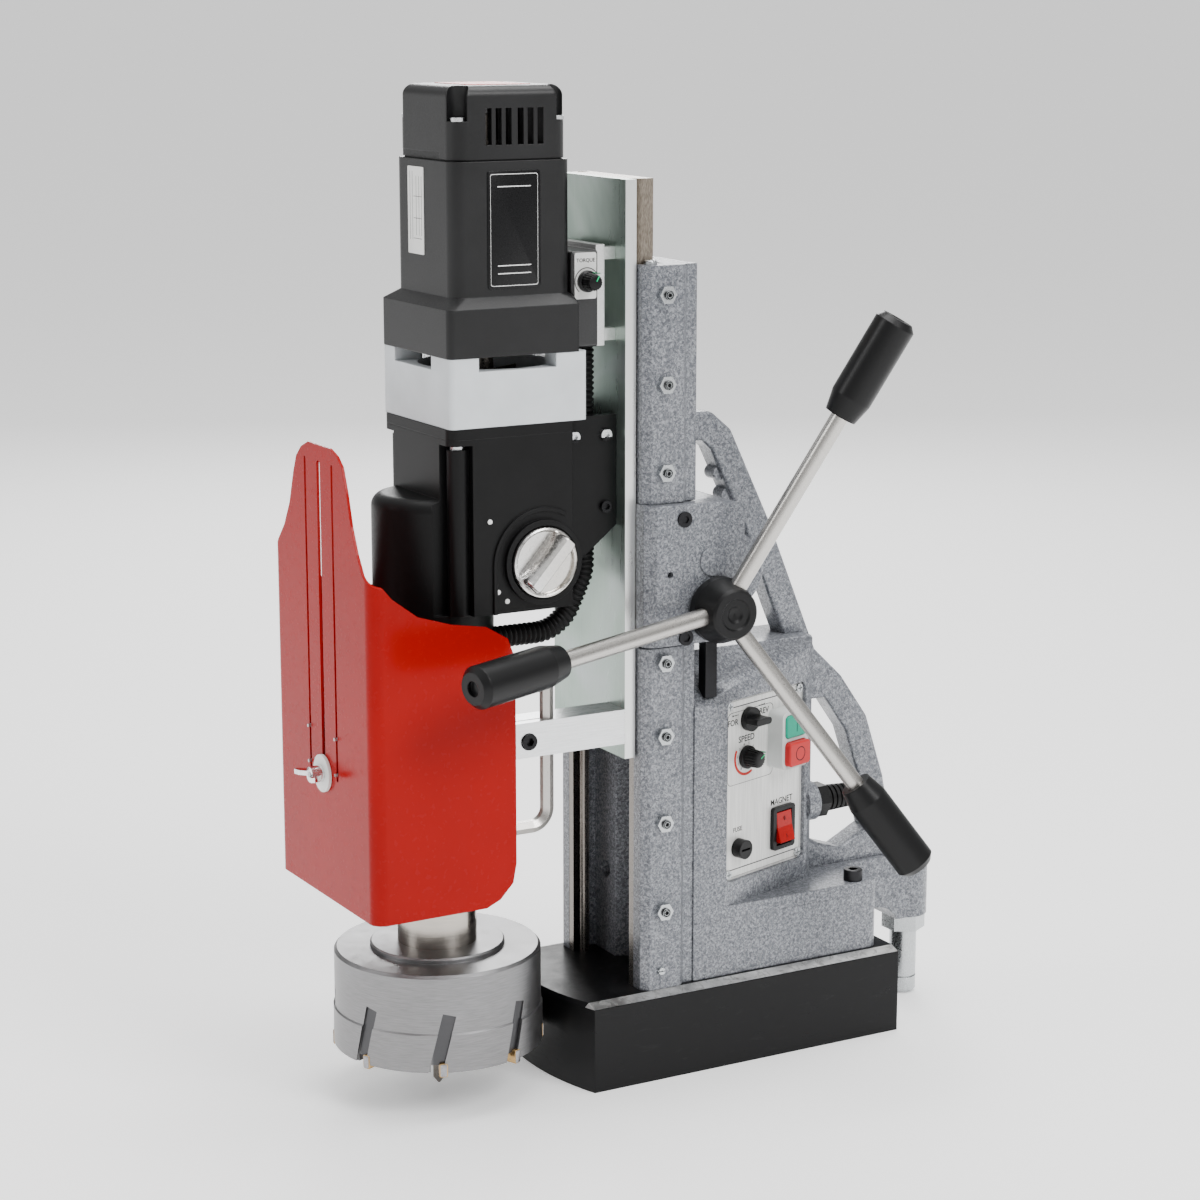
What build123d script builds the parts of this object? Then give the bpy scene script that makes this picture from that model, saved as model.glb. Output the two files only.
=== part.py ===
"""Magnetic drill press: an electromagnet base, a dovetail column with a rack feed,
a geared spindle head with a large annular cutter, and a sliding cutter guard.

Frame: origin at the centre of the magnet's bottom face, +Z up, the spindle towards -Y,
the carrying handle towards +Y, the feed wheel and the control panel on the +X side.
All lengths are in millimetres.
"""

import os
from math import atan2, cos, degrees, pi, radians, sin

from build123d import *

# ---------------------------------------------------------------- driving dimensions
# magnet
MAGNET_W, MAGNET_L, MAGNET_H = 136.0, 249.4, 62.0
MAGNET_FRONT = -MAGNET_L / 2
MAGNET_BOW = 11.8          # how far the front face bulges past its corners
MAGNET_BEVEL = 9.0         # width of the bevel along the long top edges
MAGNET_BEVEL_H = 3.0
BASE_SCREWS = ((49.0, 97.0), (-49.0, 97.0))

# column, a channel open to the front
COL_TOP = 557.6
COL_FRONT, COL_BACK = -82.0, -40.7
COL_HALF, COL_NECK = 59.5, 55.7      # half-width over the rails and behind them
RAIL_IN = 45.6                       # inner faces of the rails
WEB_FRONT = -61.0
GROOVE_BOTTOM = -46.5                # bottom of the rack groove in the web

# slide
SLIDE_FRONT, SLIDE_BACK = -91.2, -83.0
SLIDE_HALF = 49.3
SLIDE_BOT, SLIDE_TOP = 226.0, 613.0
WAIST, TAIL = 38.6, 43.2             # half-widths of the dovetail
TAIL_SHOULDER, TAIL_BACK = -76.0, -67.0
GIB_GAP = 0.13                       # running gap between the dovetail and the gibs
GUIDE_X, GUIDE_Y = -37.5, -74.7      # fixed rod that the slide runs on
GIB_SCREW_Z = (118.0, 180.5, 241.5, 292.0, 421.0, 479.5, 538.5)
GIB_SCREW_Y = -67.0

# feed drive
PINION_TEETH, PINION_MODULE = 17, 2.0
PINION_R = PINION_TEETH * PINION_MODULE / 2
PINION_Y, PINION_Z = -32.7, 359.6
FEED_MODULE = 1.5
HUB_TEETH, WHEEL_TEETH = 15, 29
FEED_Y, FEED_Z = -30.4, 326.7
FEED_LINE = degrees(atan2(PINION_Z - FEED_Z, PINION_Y - FEED_Y))
GEAR_X, GEAR_W = 52.0, 7.5
CASE_X0, CASE_X1, CASE_WALL_X = 50.0, 66.0, 61.0
HUB_X0, HUB_X1 = 68.0, 92.0
APEX_X = 76.0                        # where the axes of the three arms meet
ARM_ANGLES = (64.0, -56.0, 184.0)
ARM_TILT = 15.0                      # how far the arms lean outwards
ARM_D, ARM_START, ARM_END = 12.0, 14.0, 214.0
GRIP_D, GRIP_START, GRIP_END = 28.0, 152.0, 226.0

# foot, housing and control panel
FOOT_HALF, FOOT_TOP, FOOT_BACK = 57.0, 103.0, 114.5
FLANGE_TOP = 112.0                   # top of the upper casting's flange on the foot
HOUSE_TOP, HOUSE_SHOULDER = 288.0, 262.0
HOUSE_BACK = 76.0
PANEL_ANGLE = 18.0                   # the sides of the housing taper to the rear
PANEL_X, PANEL_Y = 54.0, -14.8
PANEL_T0, PANEL_T1 = -0.5, 84.5
PANEL_Z0, PANEL_Z1 = 128.5, 257.5
PANEL_THICK = 2.0
PANEL_SCREWS = ((4.0, 253.0), (80.0, 253.0), (4.0, 133.0), (80.0, 133.0))
START_POS, STOP_POS = (61.0, 231.5), (61.5, 212.0)
ROCKER_POS = (62.5, 155.5)
SPEED_POS, DIRECTION_POS, FUSE_POS = (23.3, 214.0), (25.0, 241.0), (14.6, 150.5)
GLAND_X, GLAND_Z = 20.0, 166.0

# spindle head
SPINDLE_Y, MOTOR_Y = -209.0, -169.6
HEAD_HALF = 50.0
GEARBOX_BOT, LID_BOT, GEARBOX_TOP = 336.0, 452.0, 459.0
NOSE_BOT, NOSE_R = 300.0, 40.0
RING_TOP, SKIRT_TOP = 504.0, 535.0
BODY_HALF, BODY_BOT, BODY_TOP = 43.0, 541.5, 627.0
CAP_HALF, CAP_TOP = 41.5, 674.0
SPINDLE_TEETH, LAY_PINION_TEETH, LOW_MODULE = 40, 14, 1.25
LAY_TEETH, MOTOR_TEETH, HIGH_MODULE = 34, 12, 1.0
LAY_X, LAY_Y = -19.65, -181.56

# cutter
CUTTER_R, CUTTER_WALL = 70.0, 7.5
CUTTER_TOP, CUTTER_STEP, CUTTER_BOT = 101.6, 62.0, 35.3
CUTTER_TEETH = 8
FLUTE_LEAN, FLUTE_W, FLUTE_TOP = 14.0, 9.0, 75.0
ARBOR_R, ARBOR_BOT = 26.8, 105.0
PILOT_R, PILOT_TIP = 4.0, 1.5

# guard and its bracket
ARM_Z0, ARM_Z1, ARM_FRONT = 236.6, 260.4, -178.0
ROD_X, ROD_Y, ROD_LOW = 42.0, -147.0, 187.0
GUARD_FRONT, GUARD_HALF, GUARD_T = -289.7, 76.5, 1.8
GUARD_BOT, GUARD_TOP = 147.0, 448.5
GUARD_BEND = 9.0
SLOT_X, SLOT_LOW, SLOT_HIGH, SLOT_W = 21.0, 230.0, 438.5, 2.8
CLAMP_Z = 231.5

# jack screw behind the magnet
JACK_Y = 177.0

os.makedirs("parts", exist_ok=True)


def save(part, name):
    """Label a finished piece and write it as its own STEP file."""
    part.label = name
    export_step(part, f"parts/{name}.step")


def panel_plane(height=0.0):
    """Plane on the control panel's face: local X runs to the rear, local Y is up."""
    a = radians(PANEL_ANGLE)
    normal = Vector(cos(a), sin(a), 0)
    origin = Vector(PANEL_X, PANEL_Y, 0) + normal * height
    return Plane(origin=origin, x_dir=(-sin(a), cos(a), 0), z_dir=normal)


def side_plane(x, y=0.0, z=0.0):
    """Plane facing +X: local X is +Y and local Y is +Z."""
    return Plane(origin=(x, y, z), x_dir=(0, 1, 0), z_dir=(1, 0, 0))


def front_plane(y):
    """Plane facing -Y: local X is +X and local Y is +Z."""
    return Plane(origin=(0, y, 0), x_dir=(1, 0, 0), z_dir=(0, -1, 0))


def level(z):
    return Plane.XY.offset(z)


def tooth_points(radius, module, teeth, angle):
    """Four corners of one straight-sided gear tooth that points along angle."""
    pitch = 2 * pi / teeth
    root, tip = radius - 1.35 * module, radius + 0.9 * module
    wide, slim = 0.26 * pitch, 0.12 * pitch
    corners = ((root, -wide), (tip, -slim), (tip, slim), (root, wide))
    return [(r * cos(angle + a), r * sin(angle + a)) for r, a in corners]


def gear(plane, teeth, module, width, phase):
    """Spur gear on a plane, with one tooth centred at the phase angle in degrees."""
    radius = teeth * module / 2
    with BuildPart() as wheel:
        with BuildSketch(plane):
            Circle(radius - 1.25 * module)
            for k in range(teeth):
                with BuildLine():
                    Polyline(
                        *tooth_points(radius, module, teeth, radians(phase) + 2 * pi * k / teeth),
                        close=True,
                    )
                make_face()
        extrude(amount=width)
    return wheel.part


# ---------------------------------------------------------------- magnet
def magnet_outline(inset=0.0):
    half, back = MAGNET_W / 2 - inset, MAGNET_L / 2
    Line((-half, MAGNET_FRONT), (-half, back))
    Line((-half, back), (half, back))
    Line((half, back), (half, MAGNET_FRONT))
    ThreePointArc((half, MAGNET_FRONT), (0, MAGNET_FRONT - MAGNET_BOW), (-half, MAGNET_FRONT))


with BuildPart() as magnet_body:
    with BuildSketch():
        with BuildLine():
            magnet_outline()
        make_face()
    extrude(amount=MAGNET_H - MAGNET_BEVEL_H)
    with BuildSketch(level(MAGNET_H - MAGNET_BEVEL_H)):
        with BuildLine():
            magnet_outline()
        make_face()
    with BuildSketch(level(MAGNET_H)):
        with BuildLine():
            magnet_outline(MAGNET_BEVEL)
        make_face()
    loft()
    # ring groove for the coil, open at the bottom face
    with BuildSketch():
        RectangleRounded(104, 216, 14)
        RectangleRounded(60, 172, 8, mode=Mode.SUBTRACT)
    extrude(amount=42, mode=Mode.SUBTRACT)
    with Locations(*[(x, y, MAGNET_H) for x, y in BASE_SCREWS]):
        Hole(4.0, depth=14)
save(magnet_body.part, "magnet_body")

with BuildPart() as magnet_coil:
    with BuildSketch(level(8)):
        RectangleRounded(104, 216, 14)
        RectangleRounded(60, 172, 8, mode=Mode.SUBTRACT)
    extrude(amount=34)
save(magnet_coil.part, "magnet_coil")

with BuildPart() as magnet_potting:
    with BuildSketch(level(0.8)):
        RectangleRounded(104, 216, 14)
        RectangleRounded(60, 172, 8, mode=Mode.SUBTRACT)
    extrude(amount=7.2)
save(magnet_potting.part, "magnet_potting")

# ---------------------------------------------------------------- foot casting and jack screw
def foot_plan():
    with Locations((0, (COL_BACK + FOOT_BACK) / 2)):
        Rectangle(2 * FOOT_HALF, FOOT_BACK - COL_BACK)
    fillet(vertices().group_by(Axis.Y)[-1], 8)


with BuildPart() as foot_casting:
    with BuildSketch(level(MAGNET_H)):
        foot_plan()
    extrude(amount=FOOT_TOP - MAGNET_H)
    # cavity under the housing, open upwards
    with BuildSketch(level(FOOT_TOP)):
        with Locations((0, 24)):
            RectangleRounded(78, 96, 8)
    extrude(amount=-32, mode=Mode.SUBTRACT)
    with Locations(*[(x, y, FOOT_TOP) for x, y in BASE_SCREWS]):
        Hole(4.0, depth=45)
save(foot_casting.part, "foot_casting")

with BuildPart() as jack_nut:
    with BuildSketch(level(50)):
        with Locations((0, JACK_Y)):
            RegularPolygon(16, 6)
            Circle(10.05, mode=Mode.SUBTRACT)
    extrude(amount=12)
save(jack_nut.part, "jack_nut")

with BuildPart() as jack_foot:
    with BuildSketch(level(1)):
        with Locations((0, JACK_Y)):
            Circle(10)
    extrude(amount=79)
    chamfer(jack_foot.edges().group_by(Axis.Z)[0], 1.5)
    # groove between the knurled end and the threaded rod
    with BuildSketch(level(12.5)):
        with Locations((0, JACK_Y)):
            Circle(10.5)
            Circle(9, mode=Mode.SUBTRACT)
    extrude(amount=1.2, mode=Mode.SUBTRACT)
save(jack_foot.part, "jack_foot")


# ---------------------------------------------------------------- column casting
RIGHT_RAIL = [
    (RAIL_IN, COL_FRONT),
    (COL_HALF - 5, COL_FRONT),
    (COL_HALF, COL_FRONT + 5),
    (COL_HALF, -52.5),
    (COL_NECK, -48.5),
    (COL_NECK, COL_BACK),
]
CHANNEL = [
    (-RAIL_IN, WEB_FRONT),
    (-15.5, WEB_FRONT),
    (-9.5, GROOVE_BOTTOM),
    (9.5, GROOVE_BOTTOM),
    (15.5, WEB_FRONT),
    (RAIL_IN, WEB_FRONT),
]

with BuildPart() as column_casting:
    with BuildSketch(level(MAGNET_H)):
        with BuildLine():
            Polyline(*RIGHT_RAIL, *[(-x, y) for x, y in reversed(RIGHT_RAIL)], *CHANNEL, close=True)
        make_face()
    extrude(amount=COL_TOP - MAGNET_H)
    # boss behind the web that carries the two feed shafts
    with BuildSketch(side_plane(-20)):
        with Locations((-19.5, 350)):
            RectangleRounded(43, 88, 6)
    extrude(amount=20 + CASE_X0)
    # seat for the feed gear case in the near rail
    with BuildSketch(side_plane(CASE_X0)):
        with Locations((-60, 351)):
            Rectangle(60, 98)
    extrude(amount=20, mode=Mode.SUBTRACT)
    # chamber that lets the pinion reach the rack
    with BuildSketch(side_plane(-9)):
        with Locations((PINION_Y, PINION_Z)):
            Circle(20.5)
    extrude(amount=18, mode=Mode.SUBTRACT)
    # bores for the shaft bushes
    with BuildSketch(side_plane(-15)):
        with Locations((PINION_Y, PINION_Z)):
            Circle(10)
        with Locations((FEED_Y, FEED_Z)):
            Circle(10)
    extrude(amount=70, mode=Mode.SUBTRACT)
    # cable hole low in the web
    with BuildSketch(front_plane(COL_BACK + 1)):
        with Locations((-30, 123)):
            Circle(6)
    extrude(amount=24, mode=Mode.SUBTRACT)
    # tapped holes for the gib screws and the low locking screw
    with BuildSketch(side_plane(RAIL_IN - 1)):
        with Locations(*[(GIB_SCREW_Y, z) for z in GIB_SCREW_Z]):
            Circle(3)
        with Locations((-68.5, 75.5)):
            Circle(2.5)
    extrude(amount=20, mode=Mode.SUBTRACT)
    with Locations((50, -73, COL_TOP), (-50, -73, COL_TOP)):
        Hole(2.5, depth=9)
save(column_casting.part, "column_casting")

GIB = [
    (RAIL_IN, COL_FRONT + 0.1),
    (WAIST + 0.72 + GIB_GAP, COL_FRONT + 0.1),
    (TAIL + GIB_GAP, TAIL_SHOULDER),
    (TAIL + GIB_GAP, TAIL_BACK),
    (RAIL_IN, TAIL_BACK),
]
with BuildPart() as gib_strips:
    with BuildSketch(level(MAGNET_H)):
        with BuildLine():
            Polyline(*GIB, close=True)
        make_face()
        with BuildLine():
            Polyline(*[(-x, y) for x, y in GIB], close=True)
        make_face()
    extrude(amount=COL_TOP - MAGNET_H - 0.5)
save(gib_strips.part, "gib_strips")

with BuildPart() as gib_screws:
    for z in GIB_SCREW_Z:
        with BuildSketch(side_plane(RAIL_IN)):
            with Locations((GIB_SCREW_Y, z)):
                Circle(3)
        extrude(amount=COL_HALF + 6 - RAIL_IN)
        with BuildSketch(side_plane(COL_HALF)):
            with Locations((GIB_SCREW_Y, z)):
                RegularPolygon(6.4, 6)
        extrude(amount=4.2)
        with BuildSketch(side_plane(COL_HALF + 3)):
            with Locations((GIB_SCREW_Y, z)):
                RegularPolygon(1.7, 6)
        extrude(amount=4, mode=Mode.SUBTRACT)

with BuildPart() as lock_screw:
    with BuildSketch(side_plane(RAIL_IN)):
        with Locations((-68.5, 75.5)):
            Circle(2.5)
    extrude(amount=COL_HALF + 2.5 - RAIL_IN)
    with BuildSketch(side_plane(COL_HALF + 1)):
        with Locations((-68.5, 75.5)):
            Rectangle(6, 0.8)
    extrude(amount=2, mode=Mode.SUBTRACT)

with BuildPart() as stop_screws:
    with BuildSketch(level(COL_TOP)):
        with Locations((50, -73), (-50, -73)):
            Circle(4.5)
    extrude(amount=3)
    fillet(stop_screws.edges().group_by(Axis.Z)[-1], 1.5)
    with BuildSketch(level(COL_TOP - 8)):
        with Locations((50, -73), (-50, -73)):
            Circle(2.5)
    extrude(amount=8)
    with Locations((50, -73, COL_TOP + 3), (-50, -73, COL_TOP + 3)):
        Box(10, 1, 2, mode=Mode.SUBTRACT)

with BuildPart() as panel_screws:
    with BuildSketch(panel_plane()):
        with Locations(*PANEL_SCREWS):
            Circle(3.1)
    extrude(amount=1.6)
    with BuildSketch(panel_plane(0.6)):
        with Locations(*PANEL_SCREWS):
            Rectangle(4.4, 0.9)
            Rectangle(0.9, 4.4)
    extrude(amount=2, mode=Mode.SUBTRACT)

with BuildPart() as column_screws:
    add(gib_screws.part)
    add(lock_screw.part)
    add(stop_screws.part)
    add(panel_screws.part)
save(column_screws.part, "column_screws")

with BuildPart() as guide_rod:
    with BuildSketch(level(MAGNET_H)):
        with Locations((GUIDE_X, GUIDE_Y)):
            Circle(3.2)
    extrude(amount=520 - MAGNET_H)
    chamfer(guide_rod.edges().group_by(Axis.Z)[-1], 0.8)
save(guide_rod.part, "guide_rod")

# ---------------------------------------------------------------- feed drive
with BuildPart() as feed_gear_case:
    with BuildSketch(side_plane(CASE_X0)):
        with BuildLine():
            Polyline((-12, 326), (-22, 304), (-83, 304), (-83, 400), (-26, 399), (-12, 376))
            ThreePointArc((-12, 376), (7.5, 351), (-12, 326))
        make_face()
    extrude(amount=CASE_X1 - CASE_X0)
    chamfer(feed_gear_case.edges().filter_by(Axis.Z).filter_by_position(Axis.X, 65, 67)
            .filter_by_position(Axis.Y, -84, -82), 6.5)
    fillet(feed_gear_case.faces().filter_by(Axis.X).sort_by(Axis.X)[-1].edges(), 1.2)
    # room for the two gears, open towards the column
    with BuildSketch(side_plane(CASE_X0)):
        with Locations((PINION_Y, PINION_Z)):
            Circle(24.5)
        with Locations((FEED_Y, FEED_Z)):
            Circle(14.5)
    extrude(amount=CASE_WALL_X - CASE_X0, mode=Mode.SUBTRACT)
    with BuildSketch(side_plane(CASE_WALL_X)):
        with Locations((FEED_Y, FEED_Z)):
            Circle(10)
        with Locations((-55.5, 389.5), (-2, 353), (-54, 309)):
            Circle(2.5)
        with Locations((-66, 352.7)):
            Circle(2.2)
    extrude(amount=10, mode=Mode.SUBTRACT)
    # round boss over the pinion shaft
    with BuildSketch(side_plane(CASE_X1)):
        with Locations((PINION_Y, PINION_Z)):
            Circle(10.5)
    extrude(amount=1.2)
save(feed_gear_case.part, "feed_gear_case")

with BuildPart() as case_screws:
    with BuildSketch(side_plane(CASE_WALL_X)):
        with Locations((-55.5, 389.5), (-2, 353), (-54, 309)):
            Circle(2.5)
    extrude(amount=5)
    with BuildSketch(side_plane(CASE_X1)):
        with Locations((-55.5, 389.5), (-2, 353), (-54, 309)):
            Circle(5.3)
    extrude(amount=1.6)
    with BuildSketch(side_plane(CASE_X1 + 0.4)):
        with Locations((-55.5, 389.5), (-2, 353), (-54, 309)):
            RegularPolygon(2.9, 6)
    extrude(amount=3, mode=Mode.SUBTRACT)

with BuildPart() as shaft_bushes:
    for y, z, bore in ((PINION_Y, PINION_Z, 6.05), (FEED_Y, FEED_Z, 7.05)):
        with BuildSketch(side_plane(-15)):
            with Locations((y, z)):
                Circle(10)
                Circle(bore, mode=Mode.SUBTRACT)
        extrude(amount=6)
        with BuildSketch(side_plane(30)):
            with Locations((y, z)):
                Circle(10)
                Circle(bore, mode=Mode.SUBTRACT)
        extrude(amount=20)
    with BuildSketch(side_plane(CASE_WALL_X)):
        with Locations((FEED_Y, FEED_Z)):
            Circle(10)
            Circle(7.05, mode=Mode.SUBTRACT)
    extrude(amount=5)
save(shaft_bushes.part, "shaft_bushes")

with BuildPart() as pinion_shaft:
    with BuildSketch(side_plane(-14)):
        with Locations((PINION_Y, PINION_Z)):
            Circle(6)
    extrude(amount=14 + 60)
    add(gear(side_plane(-7.5, PINION_Y, PINION_Z), PINION_TEETH, PINION_MODULE, 15, 180))
    add(gear(side_plane(GEAR_X, PINION_Y, PINION_Z), WHEEL_TEETH, FEED_MODULE, GEAR_W,
             FEED_LINE + 180 + 180 / WHEEL_TEETH))
save(pinion_shaft.part, "pinion_shaft")

with BuildPart() as feed_shaft:
    with BuildSketch(side_plane(-14)):
        with Locations((FEED_Y, FEED_Z)):
            Circle(7)
    extrude(amount=14 + 80)
    add(gear(side_plane(GEAR_X, FEED_Y, FEED_Z), HUB_TEETH, FEED_MODULE, GEAR_W, FEED_LINE))
save(feed_shaft.part, "feed_shaft")


def arm_plane(angle, distance):
    """Plane across one feed arm, at a distance from the point where the arms meet."""
    a, t = radians(angle), radians(ARM_TILT)
    along = Vector(sin(t), cos(t) * cos(a), cos(t) * sin(a))
    return Plane(origin=Vector(APEX_X, FEED_Y, FEED_Z) + along * distance, z_dir=along)


with BuildPart() as feed_hub:
    with BuildSketch(Plane(origin=(0, FEED_Y, FEED_Z), x_dir=(1, 0, 0), z_dir=(0, -1, 0))):
        with BuildLine():
            Polyline(
                (HUB_X0, 7), (HUB_X0, 21.5), (HUB_X0 + 1, 22.5), (HUB_X0 + 7, 22.5),
                (HUB_X1 - 1.5, 17.2), (HUB_X1, 15.8), (HUB_X1, 11), (HUB_X1 - 1.2, 10),
                (HUB_X1 - 1.2, 6), (HUB_X1 - 2.4, 4.5), (HUB_X1 - 3, 0), (80, 0), (80, 7),
                close=True,
            )
        make_face()
    revolve(axis=Axis((0, FEED_Y, FEED_Z), (1, 0, 0)))
    for angle in ARM_ANGLES:
        with BuildSketch(arm_plane(angle, ARM_START)):
            Circle(ARM_D / 2)
        extrude(amount=40, mode=Mode.SUBTRACT)
save(feed_hub.part, "feed_hub")

with BuildPart() as feed_arms:
    for angle in ARM_ANGLES:
        with BuildSketch(arm_plane(angle, ARM_START)):
            Circle(ARM_D / 2)
        extrude(amount=ARM_END - ARM_START)
save(feed_arms.part, "feed_arms")

with BuildPart() as feed_grips:
    for angle in ARM_ANGLES:
        with BuildSketch(arm_plane(angle, GRIP_START)):
            Circle(GRIP_D / 2 - 3)
        with BuildSketch(arm_plane(angle, GRIP_START + 14)):
            Circle(GRIP_D / 2)
        loft()
        with BuildSketch(arm_plane(angle, GRIP_START + 14)):
            Circle(GRIP_D / 2)
        extrude(amount=GRIP_END - GRIP_START - 18)
        with BuildSketch(arm_plane(angle, GRIP_END - 4)):
            Circle(GRIP_D / 2)
        with BuildSketch(arm_plane(angle, GRIP_END)):
            Circle(GRIP_D / 2 - 3.5)
        loft()
        with BuildSketch(arm_plane(angle, GRIP_START - 1)):
            Circle(ARM_D / 2)
        extrude(amount=ARM_END - GRIP_START + 1, mode=Mode.SUBTRACT)
        with BuildSketch(arm_plane(angle, GRIP_END - 3)):
            Circle(5)
        extrude(amount=5, mode=Mode.SUBTRACT)
save(feed_grips.part, "feed_grips")

with BuildPart() as drop_bar:
    with Locations((50, -26.5, 283)):
        Box(9, 9, 42)
save(drop_bar.part, "drop_bar")

# ---------------------------------------------------------------- housing and control panel
HOUSE_PLAN = [(57, COL_BACK), (57, -14.5), (29.5, 70), (24, HOUSE_BACK)]
HOUSE_INNER = [(50, -33.7), (50, -15.6), (22.8, 67.8), (22, 69)]
PANEL_MID = ((PANEL_T0 + PANEL_T1) / 2, (PANEL_Z0 + PANEL_Z1) / 2)
PANEL_SIZE = (PANEL_T1 - PANEL_T0, PANEL_Z1 - PANEL_Z0)

with BuildPart() as housing_casting:
    with BuildSketch(level(FOOT_TOP)):
        with BuildLine():
            Polyline(*HOUSE_PLAN, *[(-x, y) for x, y in reversed(HOUSE_PLAN)], close=True)
        make_face()
    extrude(amount=HOUSE_TOP - FOOT_TOP)
    # sloping shoulders
    with BuildSketch(front_plane(COL_BACK - 1)):
        for side in (-1, 1):
            with BuildLine():
                Polyline(
                    (side * 22, HOUSE_TOP + 1), (side * 22, HOUSE_TOP),
                    (side * 58, HOUSE_SHOULDER - 6), (side * 60, HOUSE_TOP + 1), close=True,
                )
            make_face()
    extrude(amount=-130, mode=Mode.SUBTRACT)
    # flange on the foot, and the lug that carries the jack screw
    with BuildSketch(level(FOOT_TOP)):
        foot_plan()
    extrude(amount=FLANGE_TOP - FOOT_TOP)
    with BuildSketch(level(MAGNET_H)):
        with Locations((0, JACK_Y)):
            Circle(17)
        with Locations((0, (FOOT_BACK + JACK_Y) / 2)):
            Rectangle(30, JACK_Y - FOOT_BACK)
    extrude(amount=FLANGE_TOP - MAGNET_H)
    with BuildSketch(level(MAGNET_H)):
        with Locations((0, JACK_Y)):
            Circle(10.05)
    extrude(amount=39, mode=Mode.SUBTRACT)
    with BuildSketch(side_plane(0)):
        with Locations((142, MAGNET_H - 8)):
            Circle(20)
    extrude(amount=20, both=True, mode=Mode.SUBTRACT)
    with Locations(*[(x, y, FLANGE_TOP) for x, y in BASE_SCREWS]):
        Hole(4.0, depth=12)
    # seat for the stop bar under the gear case
    with Locations((50, -26.5, 283)):
        Box(9, 9, 42, mode=Mode.SUBTRACT)
    # raised seat for the cable gland
    with BuildSketch(Plane(origin=(0, 70, 0), x_dir=(1, 0, 0), z_dir=(0, 1, 0))):
        with Locations((GLAND_X, -GLAND_Z)):
            Circle(14)
    extrude(amount=9.5)
    # inside
    with BuildSketch(level(FOOT_TOP)):
        with BuildLine():
            Polyline(*HOUSE_INNER, *[(-x, y) for x, y in reversed(HOUSE_INNER)], close=True)
        make_face()
    extrude(amount=148, mode=Mode.SUBTRACT)
    with BuildSketch(Plane(origin=(0, 60, 0), x_dir=(1, 0, 0), z_dir=(0, 1, 0))):
        with Locations((GLAND_X, -GLAND_Z)):
            Circle(6)
    extrude(amount=24, mode=Mode.SUBTRACT)
    # recess for the control panel, and the opening behind it
    with BuildSketch(panel_plane(-PANEL_THICK)):
        with Locations(PANEL_MID):
            RectangleRounded(*PANEL_SIZE, 5)
    extrude(amount=12, mode=Mode.SUBTRACT)
    with BuildSketch(panel_plane(-PANEL_THICK)):
        with Locations(PANEL_MID):
            RectangleRounded(PANEL_SIZE[0] - 14, PANEL_SIZE[1] - 14, 5)
    extrude(amount=-12, mode=Mode.SUBTRACT)
save(housing_casting.part, "housing_casting")

with BuildPart() as control_panel:
    with BuildSketch(panel_plane(-PANEL_THICK)):
        with Locations(PANEL_MID):
            RectangleRounded(*PANEL_SIZE, 5)
        with Locations(START_POS, STOP_POS):
            Circle(3.4, mode=Mode.SUBTRACT)
        with Locations(ROCKER_POS):
            Rectangle(16.8, 25, mode=Mode.SUBTRACT)
        with Locations(SPEED_POS, DIRECTION_POS):
            Circle(3.05, mode=Mode.SUBTRACT)
        with Locations(FUSE_POS):
            Circle(4.05, mode=Mode.SUBTRACT)
    extrude(amount=PANEL_THICK)
save(control_panel.part, "control_panel")

with BuildPart() as base_screws:
    with BuildSketch(level(FLANGE_TOP)):
        with Locations(*BASE_SCREWS):
            Circle(6.75)
    extrude(amount=8)
    chamfer(base_screws.edges().group_by(Axis.Z)[-1], 0.6)
    with BuildSketch(level(FLANGE_TOP + 3)):
        with Locations(*BASE_SCREWS):
            RegularPolygon(3.5, 6)
    extrude(amount=6, mode=Mode.SUBTRACT)
    with BuildSketch(level(FLANGE_TOP)):
        with Locations(*BASE_SCREWS):
            Circle(3.9)
    extrude(amount=-62)

with BuildPart() as cover_screws:
    add(case_screws.part)
    add(base_screws.part)
save(cover_screws.part, "cover_screws")

with BuildPart() as start_stop_bezel:
    with BuildSketch(panel_plane()):
        with Locations((61.2, 222)):
            RectangleRounded(29, 42, 5)
        with Locations(START_POS):
            RectangleRounded(22.6, 16.6, 3.3, mode=Mode.SUBTRACT)
        with Locations(STOP_POS):
            RectangleRounded(23.6, 17.6, 3.3, mode=Mode.SUBTRACT)
    extrude(amount=13)
save(start_stop_bezel.part, "start_stop_bezel")

for name, place, width, height, top in (
    ("start_button", START_POS, 22, 16, 14.5),
    ("stop_button", STOP_POS, 23, 17, 17.5),
):
    with BuildPart() as button:
        with BuildSketch(panel_plane(5)):
            with Locations(place):
                RectangleRounded(width, height, 3)
        extrude(amount=top - 5)
        fillet(button.faces().sort_by(Axis((0, 0, 0), panel_plane().z_dir))[-1].edges(), 1.2)
        with BuildSketch(panel_plane(-7)):
            with Locations(place):
                Circle(3)
        extrude(amount=12)
    save(button.part, name)

with BuildPart() as magnet_switch_frame:
    with BuildSketch(panel_plane()):
        with Locations(ROCKER_POS):
            RectangleRounded(24, 31, 2.5)
            Rectangle(16.8, 25, mode=Mode.SUBTRACT)
    extrude(amount=3)
save(magnet_switch_frame.part, "magnet_switch_frame")

# the rocker's section: out of the panel, then up from its pivot, with the lower half out
ROCKER_SECTION = [(-4, -9.5), (6.6, -9.7), (3.5, 0.7), (2.5, 11.5), (-4, 9.5)]
with BuildPart() as magnet_rocker:
    face = panel_plane()
    pivot = face.from_local_coords(Vector(*ROCKER_POS, 0))
    with BuildSketch(Plane(origin=pivot, x_dir=face.z_dir, z_dir=-face.x_dir)):
        with BuildLine():
            Polyline(*ROCKER_SECTION, close=True)
        make_face()
    extrude(amount=8, both=True)
save(magnet_rocker.part, "magnet_rocker")

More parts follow.
